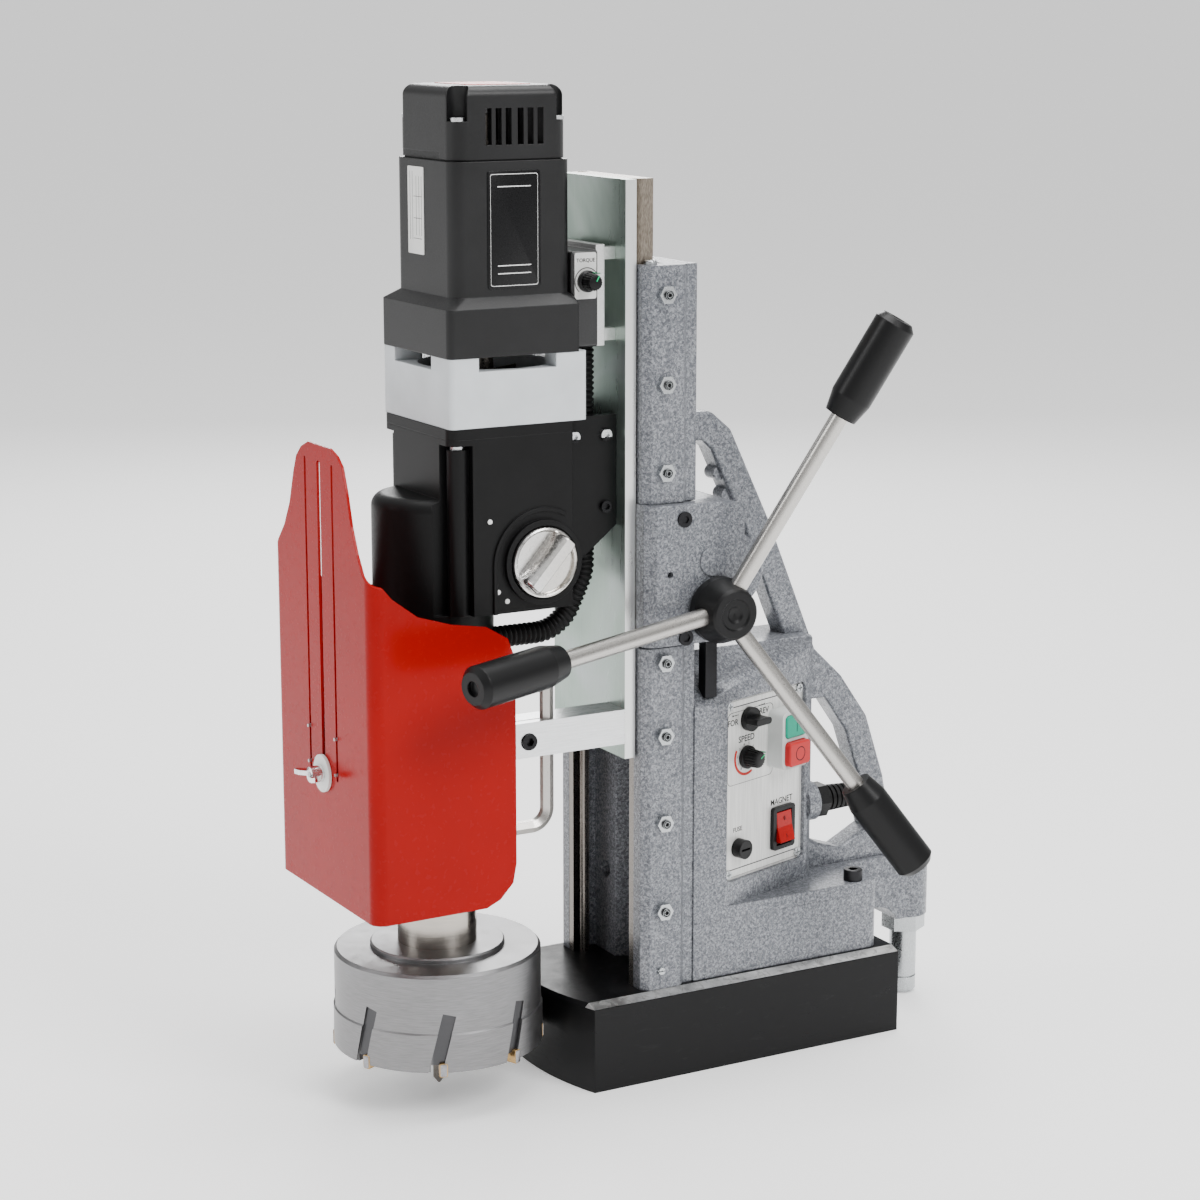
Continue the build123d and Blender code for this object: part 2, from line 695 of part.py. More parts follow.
with BuildPart() as speed_knob:
    with BuildSketch(panel_plane(0.4)):
        with Locations(SPEED_POS):
            Circle(7.5)
    extrude(amount=3)
    with BuildSketch(panel_plane(3.4)):
        with Locations(SPEED_POS):
            Circle(6.2)
    extrude(amount=9, taper=6)
    with BuildSketch(panel_plane(-10)):
        with Locations(SPEED_POS):
            Circle(3)
    extrude(amount=10.4)
    # pointer groove
    with BuildSketch(panel_plane(11.6)):
        with Locations((SPEED_POS[0], SPEED_POS[1] + 3)):
            Rectangle(1.2, 5)
    extrude(amount=2, mode=Mode.SUBTRACT)
save(speed_knob.part, "speed_knob")

with BuildPart() as direction_knob:
    with BuildSketch(panel_plane(0.4)):
        with Locations(DIRECTION_POS):
            Circle(8.5)
    extrude(amount=4)
    with BuildSketch(panel_plane(4.4)):
        with Locations(DIRECTION_POS):
            RectangleRounded(16, 4.6, 2)
    extrude(amount=10)
    with BuildSketch(panel_plane(-10)):
        with Locations(DIRECTION_POS):
            Circle(3)
    extrude(amount=10.4)
save(direction_knob.part, "direction_knob")

with BuildPart() as fuse_cap:
    with BuildSketch(panel_plane(0.3)):
        with Locations(FUSE_POS):
            Circle(6.8)
    extrude(amount=7.7)
    with BuildSketch(panel_plane(6)):
        with Locations(FUSE_POS):
            Rectangle(9, 1.4)
    extrude(amount=3, mode=Mode.SUBTRACT)
    with BuildSketch(panel_plane(-16)):
        with Locations(FUSE_POS):
            Circle(4)
    extrude(amount=16.3)
save(fuse_cap.part, "fuse_cap")

with BuildPart() as switch_bodies:
    with BuildSketch(panel_plane(-PANEL_THICK)):
        with Locations((61.2, 222)):
            Rectangle(24, 38)
        with Locations(START_POS, STOP_POS):
            Circle(3.4, mode=Mode.SUBTRACT)
        with Locations(ROCKER_POS):
            Rectangle(20, 28)
            Rectangle(16.8, 25, mode=Mode.SUBTRACT)
        with Locations(SPEED_POS, DIRECTION_POS):
            Circle(8)
            Circle(3.05, mode=Mode.SUBTRACT)
        with Locations(FUSE_POS):
            Circle(6.2)
            Circle(4.05, mode=Mode.SUBTRACT)
    extrude(amount=-14)
    with BuildSketch(panel_plane(-PANEL_THICK - 14)):
        with Locations((61.2, 222)):
            Rectangle(24, 38)
        with Locations(ROCKER_POS):
            Rectangle(20, 28)
    extrude(amount=-6)
save(switch_bodies.part, "switch_bodies")

with BuildPart() as control_board:
    with Locations((-13, 22, 155)):
        Box(2, 82, 168)
    with Locations((-21, 0, 105)):
        Box(14, 34, 40)
    with Locations((-20, 40, 200)):
        Box(12, 20, 24)
    with BuildSketch(side_plane(-14)):
        with Locations((-4, 170), (18, 170)):
            Circle(8)
    extrude(amount=-14)
save(control_board.part, "control_board")

with BuildPart() as cable_gland:
    with BuildSketch(Plane(origin=(0, HOUSE_BACK + 3.5, 0), x_dir=(1, 0, 0), z_dir=(0, 1, 0))):
        with Locations((GLAND_X, -GLAND_Z)):
            RegularPolygon(12.8, 6)
            Circle(4.6, mode=Mode.SUBTRACT)
    extrude(amount=9.5)
save(cable_gland.part, "cable_gland")

with BuildPart() as cable_relief:
    with BuildSketch(Plane(origin=(0, HOUSE_BACK + 13, 0), x_dir=(1, 0, 0), z_dir=(0, 1, 0))):
        with Locations((GLAND_X, -GLAND_Z)):
            Circle(7.5)
            Circle(4.6, mode=Mode.SUBTRACT)
    extrude(amount=27)
    for k in range(7):
        with BuildSketch(Plane(origin=(0, HOUSE_BACK + 13 + 4 * k, 0),
                               x_dir=(1, 0, 0), z_dir=(0, 1, 0))):
            with Locations((GLAND_X, -GLAND_Z)):
                Circle(9.6 - 0.2 * k)
                Circle(7, mode=Mode.SUBTRACT)
        extrude(amount=2.6)
save(cable_relief.part, "cable_relief")

# ---------------------------------------------------------------- carrying handle
HANDLE_PATH = [
    (COL_BACK, 441), (-4, 441), (8, 431), (40, 365), (62, 311), (80, 268),
    (104, 245), (125, 215), (140, 170), (148, 128), (150, 112),
]
with BuildPart() as carry_handle:
    with BuildSketch(side_plane(0)):
        for start, end in zip(HANDLE_PATH, HANDLE_PATH[1:]):
            run = Vector(*end) - Vector(*start)
            middle = (Vector(*end) + Vector(*start)) * 0.5
            with Locations(Location((middle.X, middle.Y), degrees(atan2(run.Y, run.X)))):
                SlotCenterToCenter(run.length, 20)
        with BuildLine():
            Polyline((76, 237), (101, 237), (116, 226), (104, 245), (80, 268), (76, 288), close=True)
        make_face()
        with BuildLine():
            Polyline(
                (76, 103), (159, 103), (157, 122), (138, 136), (112, 123), (94, 129), (76, 140),
                close=True,
            )
        make_face()
    extrude(amount=10, both=True)
    # flat against the column, the housing and the foot
    with Locations((0, COL_BACK - 15, 440)):
        Box(30, 30, 60, mode=Mode.SUBTRACT)
    with Locations((0, HOUSE_BACK - 40, 195)):
        Box(30, 80, 186, mode=Mode.SUBTRACT)
    with Locations((0, 130, FLANGE_TOP - 20)):
        Box(30, 120, 40, mode=Mode.SUBTRACT)
    outline = carry_handle.faces().filter_by(Axis.X).edges().filter_by_position(
        Axis.Y, COL_BACK + 1, 200).filter_by_position(Axis.Z, FLANGE_TOP + 1, 500)
    fillet([e for e in outline if e.center().Y > HOUSE_BACK + 1 or e.center().Z > 290], 3)
    # finger ridges under the grip
    with BuildSketch(side_plane(0)):
        with Locations(*[(8.7 + 7 * k, 406.7 - 15.5 * k) for k in range(5)]):
            Circle(5)
    extrude(amount=6, both=True)
save(carry_handle.part, "carry_handle")

# ---------------------------------------------------------------- slide
with BuildPart() as slide_plate:
    with BuildSketch(level(SLIDE_BOT)):
        with Locations((0, (SLIDE_FRONT + SLIDE_BACK) / 2)):
            Rectangle(2 * SLIDE_HALF, SLIDE_BACK - SLIDE_FRONT)
        with BuildLine():
            Polyline(
                (WAIST, SLIDE_BACK), (TAIL, TAIL_SHOULDER), (TAIL, TAIL_BACK),
                (-TAIL, TAIL_BACK), (-TAIL, TAIL_SHOULDER), (-WAIST, SLIDE_BACK), close=True,
            )
        make_face()
        with Locations((GUIDE_X, GUIDE_Y)):
            Circle(4, mode=Mode.SUBTRACT)
    extrude(amount=SLIDE_TOP - SLIDE_BOT)
    with BuildSketch(front_plane(SLIDE_FRONT)):
        with Locations((0, 291)):
            Circle(3.5)
    extrude(amount=-6, mode=Mode.SUBTRACT)
save(slide_plate.part, "slide_plate")

RACK_PITCH = pi * PINION_MODULE
RACK_ROOT = PINION_Y - PINION_R - 1.35 * PINION_MODULE
RACK_TIP = PINION_Y - PINION_R + 0.9 * PINION_MODULE
with BuildPart() as feed_rack:
    with BuildSketch(side_plane(-8)):
        with Locations(((TAIL_BACK + RACK_ROOT) / 2, 343.5)):
            Rectangle(RACK_ROOT - TAIL_BACK, 233)
        for k in range(-21, 16):
            z = PINION_Z + (k + 0.5) * RACK_PITCH
            with BuildLine():
                Polyline(
                    (RACK_ROOT - 0.2, z - 0.26 * RACK_PITCH), (RACK_TIP, z - 0.12 * RACK_PITCH),
                    (RACK_TIP, z + 0.12 * RACK_PITCH), (RACK_ROOT - 0.2, z + 0.26 * RACK_PITCH),
                    close=True,
                )
            make_face()
    extrude(amount=16)
save(feed_rack.part, "feed_rack")

with BuildPart() as arm_bracket:
    with BuildSketch(level(ARM_Z0)):
        with Locations(((25 + SLIDE_HALF) / 2, (SLIDE_FRONT + ARM_FRONT) / 2)):
            Rectangle(SLIDE_HALF - 25, SLIDE_FRONT - ARM_FRONT)
        with Locations((ROD_X, ROD_Y)):
            RegularPolygon(4, 6, major_radius=False, mode=Mode.SUBTRACT)
        # clamping slit from the rod to the front
        with Locations((ROD_X, (ROD_Y + ARM_FRONT) / 2)):
            Rectangle(1.5, ROD_Y - ARM_FRONT, mode=Mode.SUBTRACT)
    extrude(amount=ARM_Z1 - ARM_Z0)
    with BuildSketch(side_plane(25)):
        with Locations((-164, 247.4)):
            Circle(3)
    extrude(amount=30, mode=Mode.SUBTRACT)
    with BuildSketch(side_plane(SLIDE_HALF - 5)):
        with Locations((-164, 247.4)):
            Circle(5.8)
    extrude(amount=10, mode=Mode.SUBTRACT)
save(arm_bracket.part, "arm_bracket")

with BuildPart() as arm_bolt:
    with BuildSketch(side_plane(SLIDE_HALF - 5)):
        with Locations((-164, 247.4)):
            Circle(5.5)
    extrude(amount=6.5)
    with BuildSketch(side_plane(25)):
        with Locations((-164, 247.4)):
            Circle(3)
    extrude(amount=SLIDE_HALF - 30)
    with BuildSketch(side_plane(SLIDE_HALF - 1.5)):
        with Locations((-164, 247.4)):
            RegularPolygon(3, 6)
    extrude(amount=4, mode=Mode.SUBTRACT)

# ---------------------------------------------------------------- torque control box and conduit
with BuildPart() as torque_plate:
    with Locations((0, -103.8, 538)):
        Box(76, 6.4, 66)
    with Locations((32, -95.9, 565), (32, -95.9, 512), (-32, -95.9, 565), (-32, -95.9, 512)):
        Box(8, 9.4, 8)

with BuildPart() as torque_box:
    add(torque_plate.part)
    with BuildSketch(front_plane(-107)):
        with Locations((0, 536.2)):
            RectangleRounded(80, 62.8, 2)
    extrude(amount=19.2)
    chamfer(torque_box.faces().sort_by(Axis.Y)[0].edges(), 1)
    with BuildSketch(side_plane(28)):
        with Locations((-115.5, 548)):
            Circle(3.05)
    extrude(amount=20, mode=Mode.SUBTRACT)
save(torque_box.part, "torque_box")

with BuildPart() as torque_panel:
    with BuildSketch(side_plane(40)):
        with Locations((-116.3, 551.5)):
            RectangleRounded(16, 30, 1.5)
        with Locations((-115.5, 548)):
            Circle(3.05, mode=Mode.SUBTRACT)
    extrude(amount=1)
save(torque_panel.part, "torque_panel")

with BuildPart() as torque_knob:
    with BuildSketch(side_plane(41.4)):
        with Locations((-115.5, 548)):
            Circle(7.2)
    extrude(amount=4)
    with BuildSketch(side_plane(45.4)):
        with Locations((-115.5, 548)):
            Circle(6.4)
    extrude(amount=13, taper=4)
    with BuildSketch(side_plane(30)):
        with Locations((-115.5, 548)):
            Circle(3)
    extrude(amount=11.4)
save(torque_knob.part, "torque_knob")

CONDUIT_X, CONDUIT_R = 22.0, 7.5
CONDUIT_PATH = [(-108, 504.8), (-108, 352), (-126, 314), (-178.9, 314)]
with BuildPart() as conduit:
    with BuildLine(side_plane(CONDUIT_X)) as conduit_line:
        FilletPolyline(*CONDUIT_PATH, radius=29)
    with BuildSketch(Plane(origin=(CONDUIT_X, -108, 504.8), x_dir=(1, 0, 0), z_dir=(0, 0, -1))):
        Circle(CONDUIT_R)
    sweep()
save(conduit.part, "conduit")

# ---------------------------------------------------------------- spindle gearbox
POCKET_TOP = 448.0
CORNER_BOSSES = ((40.0, -210.0), (-40.0, -210.0))
KNOB_Y, KNOB_Z = -154.0, 368.0
CHEEK = [
    (-132, 336), (-132, LID_BOT), (-131, LID_BOT), (-131, GEARBOX_TOP), (SLIDE_FRONT, GEARBOX_TOP),
    (SLIDE_FRONT, 385), (-120, 362), (-128, 336),
]
RIB_R, RIB_W = 36.0, 2.6             # raised rib round the gear knob, open towards the rear


def rim_point(radius, angle):
    """Point on a circle round the gear knob, in (y, z)."""
    return (KNOB_Y + radius * cos(radians(angle)), KNOB_Z + radius * sin(radians(angle)))


with BuildPart() as gearbox_case:
    with BuildSketch(level(GEARBOX_BOT)):
        with Locations((0, -175.5)):
            Rectangle(2 * HEAD_HALF, 89)
        fillet(vertices().group_by(Axis.Y)[0], 7)
    extrude(amount=LID_BOT - GEARBOX_BOT)
    with BuildSketch(level(NOSE_BOT)):
        with Locations((0, SPINDLE_Y)):
            Circle(NOSE_R)
    extrude(amount=412 - NOSE_BOT)
    fillet(gearbox_case.edges().filter_by(GeomType.CIRCLE).filter_by_position(
        Axis.Z, 411, 413), 9)
    # pockets in the front corners, each with a boss for a lid screw
    with Locations(*[(side * 45, -215, (GEARBOX_BOT + POCKET_TOP) / 2) for side in (-1, 1)]):
        Box(22, 22, POCKET_TOP - GEARBOX_BOT, mode=Mode.SUBTRACT)
    with BuildSketch(level(GEARBOX_BOT)):
        with Locations(*CORNER_BOSSES):
            Circle(7.2)
    extrude(amount=POCKET_TOP - 3 - GEARBOX_BOT)
    # side cheeks that reach back to the slide
    with BuildSketch(side_plane(32)):
        with BuildLine():
            Polyline(*CHEEK, close=True)
        make_face()
    extrude(amount=5.5)
    with BuildSketch(side_plane(-37.5)):
        with BuildLine():
            Polyline(*CHEEK, close=True)
        make_face()
    extrude(amount=5.5)
    # room for the gears, open at the top
    with BuildSketch(level(342)):
        with Locations((0, -176)):
            RectangleRounded(84, 76, 4)
        with Locations((40, -212), (-40, -212)):
            Rectangle(22, 28, mode=Mode.SUBTRACT)
    extrude(amount=LID_BOT - 342, mode=Mode.SUBTRACT)
    with BuildSketch(level(342)):
        with Locations((0, SPINDLE_Y)):
            Circle(30)
    extrude(amount=58, mode=Mode.SUBTRACT)
    # spindle bore, layshaft pivot, gear knob bore, conduit pocket
    with BuildSketch(level(NOSE_BOT)):
        with Locations((0, SPINDLE_Y)):
            Circle(15.05)
    extrude(amount=50, mode=Mode.SUBTRACT)
    with BuildSketch(level(338)):
        with Locations((LAY_X, LAY_Y)):
            Circle(5.05)
    extrude(amount=6, mode=Mode.SUBTRACT)
    with BuildSketch(side_plane(40)):
        with Locations((-154, 368)):
            Circle(6.05)
    extrude(amount=12, mode=Mode.SUBTRACT)
    with BuildSketch(front_plane(-160)):
        with Locations((CONDUIT_X, 314)):
            Circle(CONDUIT_R)
    extrude(amount=18.9, mode=Mode.SUBTRACT)
    # raised collar and rib round the gear knob
    with BuildSketch(side_plane(HEAD_HALF)):
        with Locations((KNOB_Y, KNOB_Z)):
            Circle(28)
            Circle(24.3, mode=Mode.SUBTRACT)
    extrude(amount=3.6)
    with BuildSketch(side_plane(HEAD_HALF)):
        with BuildLine():
            ThreePointArc(*[rim_point(RIB_R, angle) for angle in (60, 120, 180)])
            Line(rim_point(RIB_R, 180), (KNOB_Y - RIB_R, GEARBOX_BOT))
            Line((KNOB_Y - RIB_R, GEARBOX_BOT), (KNOB_Y - RIB_R + RIB_W, GEARBOX_BOT))
            Line((KNOB_Y - RIB_R + RIB_W, GEARBOX_BOT), rim_point(RIB_R - RIB_W, 180))
            ThreePointArc(*[rim_point(RIB_R - RIB_W, angle) for angle in (180, 120, 60)])
            Line(rim_point(RIB_R - RIB_W, 60), rim_point(RIB_R, 60))
        make_face()
    extrude(amount=1.6)
save(gearbox_case.part, "gearbox_case")

with BuildPart() as gearbox_lid:
    with BuildSketch(level(LID_BOT)):
        with Locations((0, -175.5)):
            Rectangle(2 * HEAD_HALF, 89)
        fillet(vertices().group_by(Axis.Y)[0], 7)
        with Locations((0, MOTOR_Y)):
            Circle(6.05, mode=Mode.SUBTRACT)
        with Locations((LAY_X, LAY_Y)):
            Circle(5.05, mode=Mode.SUBTRACT)
    extrude(amount=GEARBOX_TOP - LID_BOT)
save(gearbox_lid.part, "gearbox_lid")

with BuildPart() as head_screws:
    for x, y, z in ((37.5, -124, 446), (37.5, -100, 446), (37.5, -100, 398)):
        with BuildSketch(side_plane(x)):
            with Locations((y, z)):
                Circle(4)
        extrude(amount=3)
        with BuildSketch(side_plane(x + 1.2)):
            with Locations((y, z)):
                RegularPolygon(2.3, 6)
        extrude(amount=4, mode=Mode.SUBTRACT)

with BuildPart() as lid_screws:
    with BuildSketch(level(POCKET_TOP - 3)):
        with Locations(*CORNER_BOSSES):
            Circle(5)
    extrude(amount=3)

with BuildPart() as gear_knob:
    with BuildSketch(side_plane(HEAD_HALF + 0.4)):
        with Locations((KNOB_Y, KNOB_Z)):
            Circle(23.6)
    extrude(amount=5)
    chamfer(gear_knob.edges().sort_by(Axis.X)[-1], 1.5)
    with BuildSketch(side_plane(HEAD_HALF + 5.4)):
        with Locations(Location((KNOB_Y, KNOB_Z), 38)):
            RectangleRounded(43, 11, 5)
    extrude(amount=13)
    fillet(gear_knob.faces().sort_by(Axis.X)[-1].edges(), 2)
    with BuildSketch(side_plane(38)):
        with Locations((KNOB_Y, KNOB_Z)):
            Circle(6)
    extrude(amount=12.4)
save(gear_knob.part, "gear_knob")

LOW_LINE = degrees(atan2(LAY_Y - SPINDLE_Y, LAY_X))
HIGH_LINE = degrees(atan2(MOTOR_Y - LAY_Y, -LAY_X))
with BuildPart() as layshaft:
    with BuildSketch(level(338)):
        with Locations((LAY_X, LAY_Y)):
            Circle(5)
    extrude(amount=118)
    add(gear(Plane((LAY_X, LAY_Y, 346)), LAY_PINION_TEETH, LOW_MODULE, 12,
             LOW_LINE + 180 + 180 / LAY_PINION_TEETH))
    add(gear(Plane((LAY_X, LAY_Y, 420)), LAY_TEETH, HIGH_MODULE, 10, HIGH_LINE))
save(layshaft.part, "layshaft")

# ---------------------------------------------------------------- motor
with BuildPart() as fan_ring:
    with BuildSketch(level(GEARBOX_TOP)):
        with Locations((0, MOTOR_Y)):
            RectangleRounded(2 * HEAD_HALF, 2 * HEAD_HALF, 4)
    extrude(amount=RING_TOP - GEARBOX_TOP)
    with BuildSketch(level(GEARBOX_TOP)):
        with Locations((0, MOTOR_Y)):
            Circle(43.5)
    extrude(amount=50, mode=Mode.SUBTRACT)
    # one wide air window in the top edge of each side
    with Locations((0, MOTOR_Y - 1.4, RING_TOP)):
        Box(120, 56, 18, mode=Mode.SUBTRACT)
    with Locations((-4, MOTOR_Y, RING_TOP)):
        Box(54, 120, 18, mode=Mode.SUBTRACT)
save(fan_ring.part, "fan_ring")

with BuildPart() as motor_housing:
    with BuildSketch(level(RING_TOP)):
        with Locations((0, MOTOR_Y)):
            RectangleRounded(101, 101, 5)
    extrude(amount=SKIRT_TOP - RING_TOP)
    with BuildSketch(level(SKIRT_TOP)):
        with Locations((0, MOTOR_Y)):
            RectangleRounded(101, 101, 5)
    with BuildSketch(level(BODY_BOT)):
        with Locations((0, MOTOR_Y)):
            RectangleRounded(2 * BODY_HALF, 2 * BODY_HALF, 10)
    loft()
    with BuildSketch(level(BODY_BOT)):
        with Locations((0, MOTOR_Y)):
            RectangleRounded(2 * BODY_HALF, 2 * BODY_HALF, 10)
    extrude(amount=BODY_TOP - BODY_BOT)
    with BuildSketch(level(RING_TOP)):
        with Locations((0, MOTOR_Y)):
            Circle(39)
    extrude(amount=200, mode=Mode.SUBTRACT)
    # flat at the rear for the torque box
    with Locations((0, MOTOR_Y + BODY_HALF + 20, 520)):
        Box(120, 40, 50, mode=Mode.SUBTRACT)
save(motor_housing.part, "motor_housing")

with BuildPart() as stator:
    with BuildSketch(level(550)):
        with Locations((0, MOTOR_Y)):
            Circle(39)
            Circle(26, mode=Mode.SUBTRACT)
    extrude(amount=60)
save(stator.part, "stator")

with BuildPart() as armature:
    with BuildSketch(level(416)):
        with Locations((0, MOTOR_Y)):
            Circle(4.4)
    extrude(amount=20)
    with BuildSketch(level(436)):
        with Locations((0, MOTOR_Y)):
            Circle(6)
    extrude(amount=219)
    add(gear(Plane((0, MOTOR_Y, 420)), MOTOR_TEETH, HIGH_MODULE, 10,
             HIGH_LINE + 180 + 180 / MOTOR_TEETH))
    with BuildSketch(level(470)):
        with Locations((0, MOTOR_Y)):
            Circle(40)
    extrude(amount=3)
    with BuildSketch(level(473)):
        with Locations((0, MOTOR_Y)):
            with PolarLocations(25, 12):
                Rectangle(26, 1.5)
    extrude(amount=16)
    with BuildSketch(level(552)):
        with Locations((0, MOTOR_Y)):
            Circle(25.4)
    extrude(amount=56)
    with BuildSketch(level(618)):
        with Locations((0, MOTOR_Y)):
            Circle(14)
    extrude(amount=20)
save(armature.part, "armature")

CAP_SCREWS = [(x, MOTOR_Y + y) for x in (-35.5, 35.5) for y in (-35.5, 35.5)]
CAP_SEAT = 652.0                     # floor of the pockets for the cap screws
with BuildPart() as motor_cap:
    with BuildSketch(level(BODY_TOP)):
        with Locations((0, MOTOR_Y)):
            RectangleRounded(2 * CAP_HALF - 2, 2 * CAP_HALF - 2, 11)
    extrude(amount=0.8)
    with BuildSketch(level(BODY_TOP + 0.8)):
        with Locations((0, MOTOR_Y)):
            RectangleRounded(2 * CAP_HALF, 2 * CAP_HALF, 11.5)
    extrude(amount=CAP_TOP - BODY_TOP - 0.8)
    fillet(motor_cap.faces().sort_by(Axis.Z)[-1].edges(), 7)
    with BuildSketch(level(BODY_TOP)):
        with Locations((0, MOTOR_Y)):
            RectangleRounded(73, 73, 9)
            with Locations(*[(x, y - MOTOR_Y) for x, y in CAP_SCREWS]):
                Circle(10, mode=Mode.SUBTRACT)
    extrude(amount=40, mode=Mode.SUBTRACT)
    with BuildSketch(level(CAP_SEAT)):
        with Locations(*CAP_SCREWS):
            Circle(6.8)
    extrude(amount=40, mode=Mode.SUBTRACT)
    # two groups of three vents on each side
    with BuildSketch(side_plane(-60)):
        with Locations(*[(MOTOR_Y + 1.8 + d, 648.5) for d in (-18.5, -11.4, -4.3, 4.3, 11.4, 18.5)]):
            Rectangle(4.2, 23)
    extrude(amount=120, mode=Mode.SUBTRACT)
    # gap in the seam at the front
    with Locations((-8, MOTOR_Y - CAP_HALF, BODY_TOP + 2.6)):
        Box(58, 5, 5.2, mode=Mode.SUBTRACT)
save(motor_cap.part, "motor_cap")

with BuildPart() as motor_screws:
    with BuildSketch(level(CAP_SEAT)):
        with Locations(*CAP_SCREWS):
            Circle(4.6)
    extrude(amount=2.4)

with BuildPart() as slide_screws:
    add(arm_bolt.part)
    add(head_screws.part)
    add(lid_screws.part)
    add(motor_screws.part)
save(slide_screws.part, "slide_screws")

with BuildPart() as rating_plates:
    with BuildSketch(side_plane(BODY_HALF)):
        with Locations((MOTOR_Y, 583.5)):
            RectangleRounded(38, 75, 2)
    extrude(amount=0.6)
    with BuildSketch(front_plane(MOTOR_Y - BODY_HALF)):
        with Locations((-10.5, 594)):
            RectangleRounded(23, 56, 1)
    extrude(amount=0.4)
    with BuildSketch(level(CAP_TOP)):
        with Locations((0, MOTOR_Y)):
            RectangleRounded(52, 44, 2)
    extrude(amount=0.4)
save(rating_plates.part, "rating_plates")

# ---------------------------------------------------------------- spindle and cutter
with BuildPart() as spindle:
    with BuildSketch(level(ARBOR_BOT)):
        with Locations((0, SPINDLE_Y)):
            Circle(ARBOR_R)
    extrude(amount=222 - ARBOR_BOT)
    chamfer(spindle.edges().group_by(Axis.Z)[-1], 3)
    with BuildSketch(level(222)):
        with Locations((0, SPINDLE_Y)):
            Circle(21)
    extrude(amount=70)
    with BuildSketch(level(292)):
        with Locations((0, SPINDLE_Y)):
            Circle(15)
    extrude(amount=102)
    add(gear(Plane((0, SPINDLE_Y, 346)), SPINDLE_TEETH, LOW_MODULE, 12, LOW_LINE))
    with BuildSketch(level(ARBOR_BOT)):
        with Locations((0, SPINDLE_Y)):
            Circle(PILOT_R + 0.05)
    extrude(amount=110, mode=Mode.SUBTRACT)
save(spindle.part, "spindle")

with BuildPart() as cutter:
    with BuildSketch(Plane(origin=(0, SPINDLE_Y, 0), x_dir=(1, 0, 0), z_dir=(0, -1, 0))):
        with BuildLine():
            Polyline(
                (PILOT_R + 0.05, 90), (PILOT_R + 0.05, ARBOR_BOT), (44.5, ARBOR_BOT),
                (45.5, ARBOR_BOT - 1), (45.5, CUTTER_TOP), (CUTTER_R - 2, CUTTER_TOP),
                (CUTTER_R, CUTTER_TOP - 2), (CUTTER_R, CUTTER_STEP),
                (CUTTER_R + 1, CUTTER_STEP - 1), (CUTTER_R + 1, CUTTER_BOT),
                (CUTTER_R + 1 - CUTTER_WALL, CUTTER_BOT), (CUTTER_R - CUTTER_WALL, 90),
                close=True,
            )
        make_face()
    revolve(axis=Axis((0, SPINDLE_Y, 0), (0, 0, 1)))
    # slanted flutes and the notches between the cutting teeth
    for k in range(CUTTER_TEETH):
        turn = 2 * pi * (k + 0.5) / CUTTER_TEETH
        place = Vector((CUTTER_R + 1) * cos(turn), SPINDLE_Y + (CUTTER_R + 1) * sin(turn), 62)
        out = Vector(cos(turn), sin(turn), 0)
        across = Vector(-sin(turn), cos(turn), 0)
        lean = across * cos(radians(FLUTE_LEAN)) - Vector(0, 0, 1) * sin(radians(FLUTE_LEAN))
        with BuildSketch(Plane(origin=place - out * 2.2, x_dir=lean, z_dir=out)):
            with Locations((0, FLUTE_TOP - 62 - 30)):
                Rectangle(FLUTE_W, 60)
        extrude(amount=12, mode=Mode.SUBTRACT)
        with BuildSketch(Plane(origin=(0, SPINDLE_Y, CUTTER_BOT), x_dir=out, z_dir=(0, 0, 1))):
            with Locations((CUTTER_R, -6)):
                Rectangle(24, 7)
        extrude(amount=5, mode=Mode.SUBTRACT)
save(cutter.part, "cutter")

with BuildPart() as pilot_pin:
    with BuildSketch(level(PILOT_TIP + 4)):
        with Locations((0, SPINDLE_Y)):
            Circle(PILOT_R)
    extrude(amount=145)
    with BuildSketch(level(PILOT_TIP)):
        with Locations((0, SPINDLE_Y)):
            Circle(1)
    with BuildSketch(level(PILOT_TIP + 4)):
        with Locations((0, SPINDLE_Y)):
            Circle(PILOT_R)
    loft()
save(pilot_pin.part, "pilot_pin")

# ---------------------------------------------------------------- guard and its carrier
with BuildPart() as guard_rod:
    with BuildLine(side_plane(ROD_X)):
        FilletPolyline((ROD_Y, 305), (ROD_Y, ROD_LOW), (-283.6, ROD_LOW), radius=12)
    with BuildSketch(Plane(origin=(ROD_X, ROD_Y, 305), x_dir=(1, 0, 0), z_dir=(0, 0, -1))):
        RegularPolygon(3.97, 6, major_radius=False)
    sweep()
save(guard_rod.part, "guard_rod")

PLATE_Y = -287.6
with BuildPart() as guard_bracket:
    with BuildSketch(front_plane(-283.6)):
        with BuildLine():
            Polyline(
                (-28, 222), (28, 222), (34, 178), (50, 178), (50, 200), (36, 228), (36, 268),
                (-28, 268), close=True,
            )
        make_face()
    extrude(amount=4)
    with BuildSketch(front_plane(-270)):
        with Locations((ROD_X, ROD_LOW)):
            Rectangle(16, 18)
            RegularPolygon(3.97, 6, major_radius=False, mode=Mode.SUBTRACT)
    extrude(amount=13.6)
    with BuildSketch(front_plane(PLATE_Y)):
        with Locations((-SLOT_X, 235), (-SLOT_X, 259), (SLOT_X, 235), (SLOT_X, 259)):
            Circle(1.1)
    extrude(amount=4)
    with BuildSketch(front_plane(PLATE_Y)):
        with Locations((0, CLAMP_Z)):
            Circle(2)
    extrude(amount=13)
save(guard_bracket.part, "guard_bracket")

with BuildPart() as guard_washer:
    with BuildSketch(front_plane(GUARD_FRONT - 0.3)):
        with Locations((0, CLAMP_Z)):
            Circle(12.5)
            Circle(2, mode=Mode.SUBTRACT)
    extrude(amount=2)
save(guard_washer.part, "guard_washer")

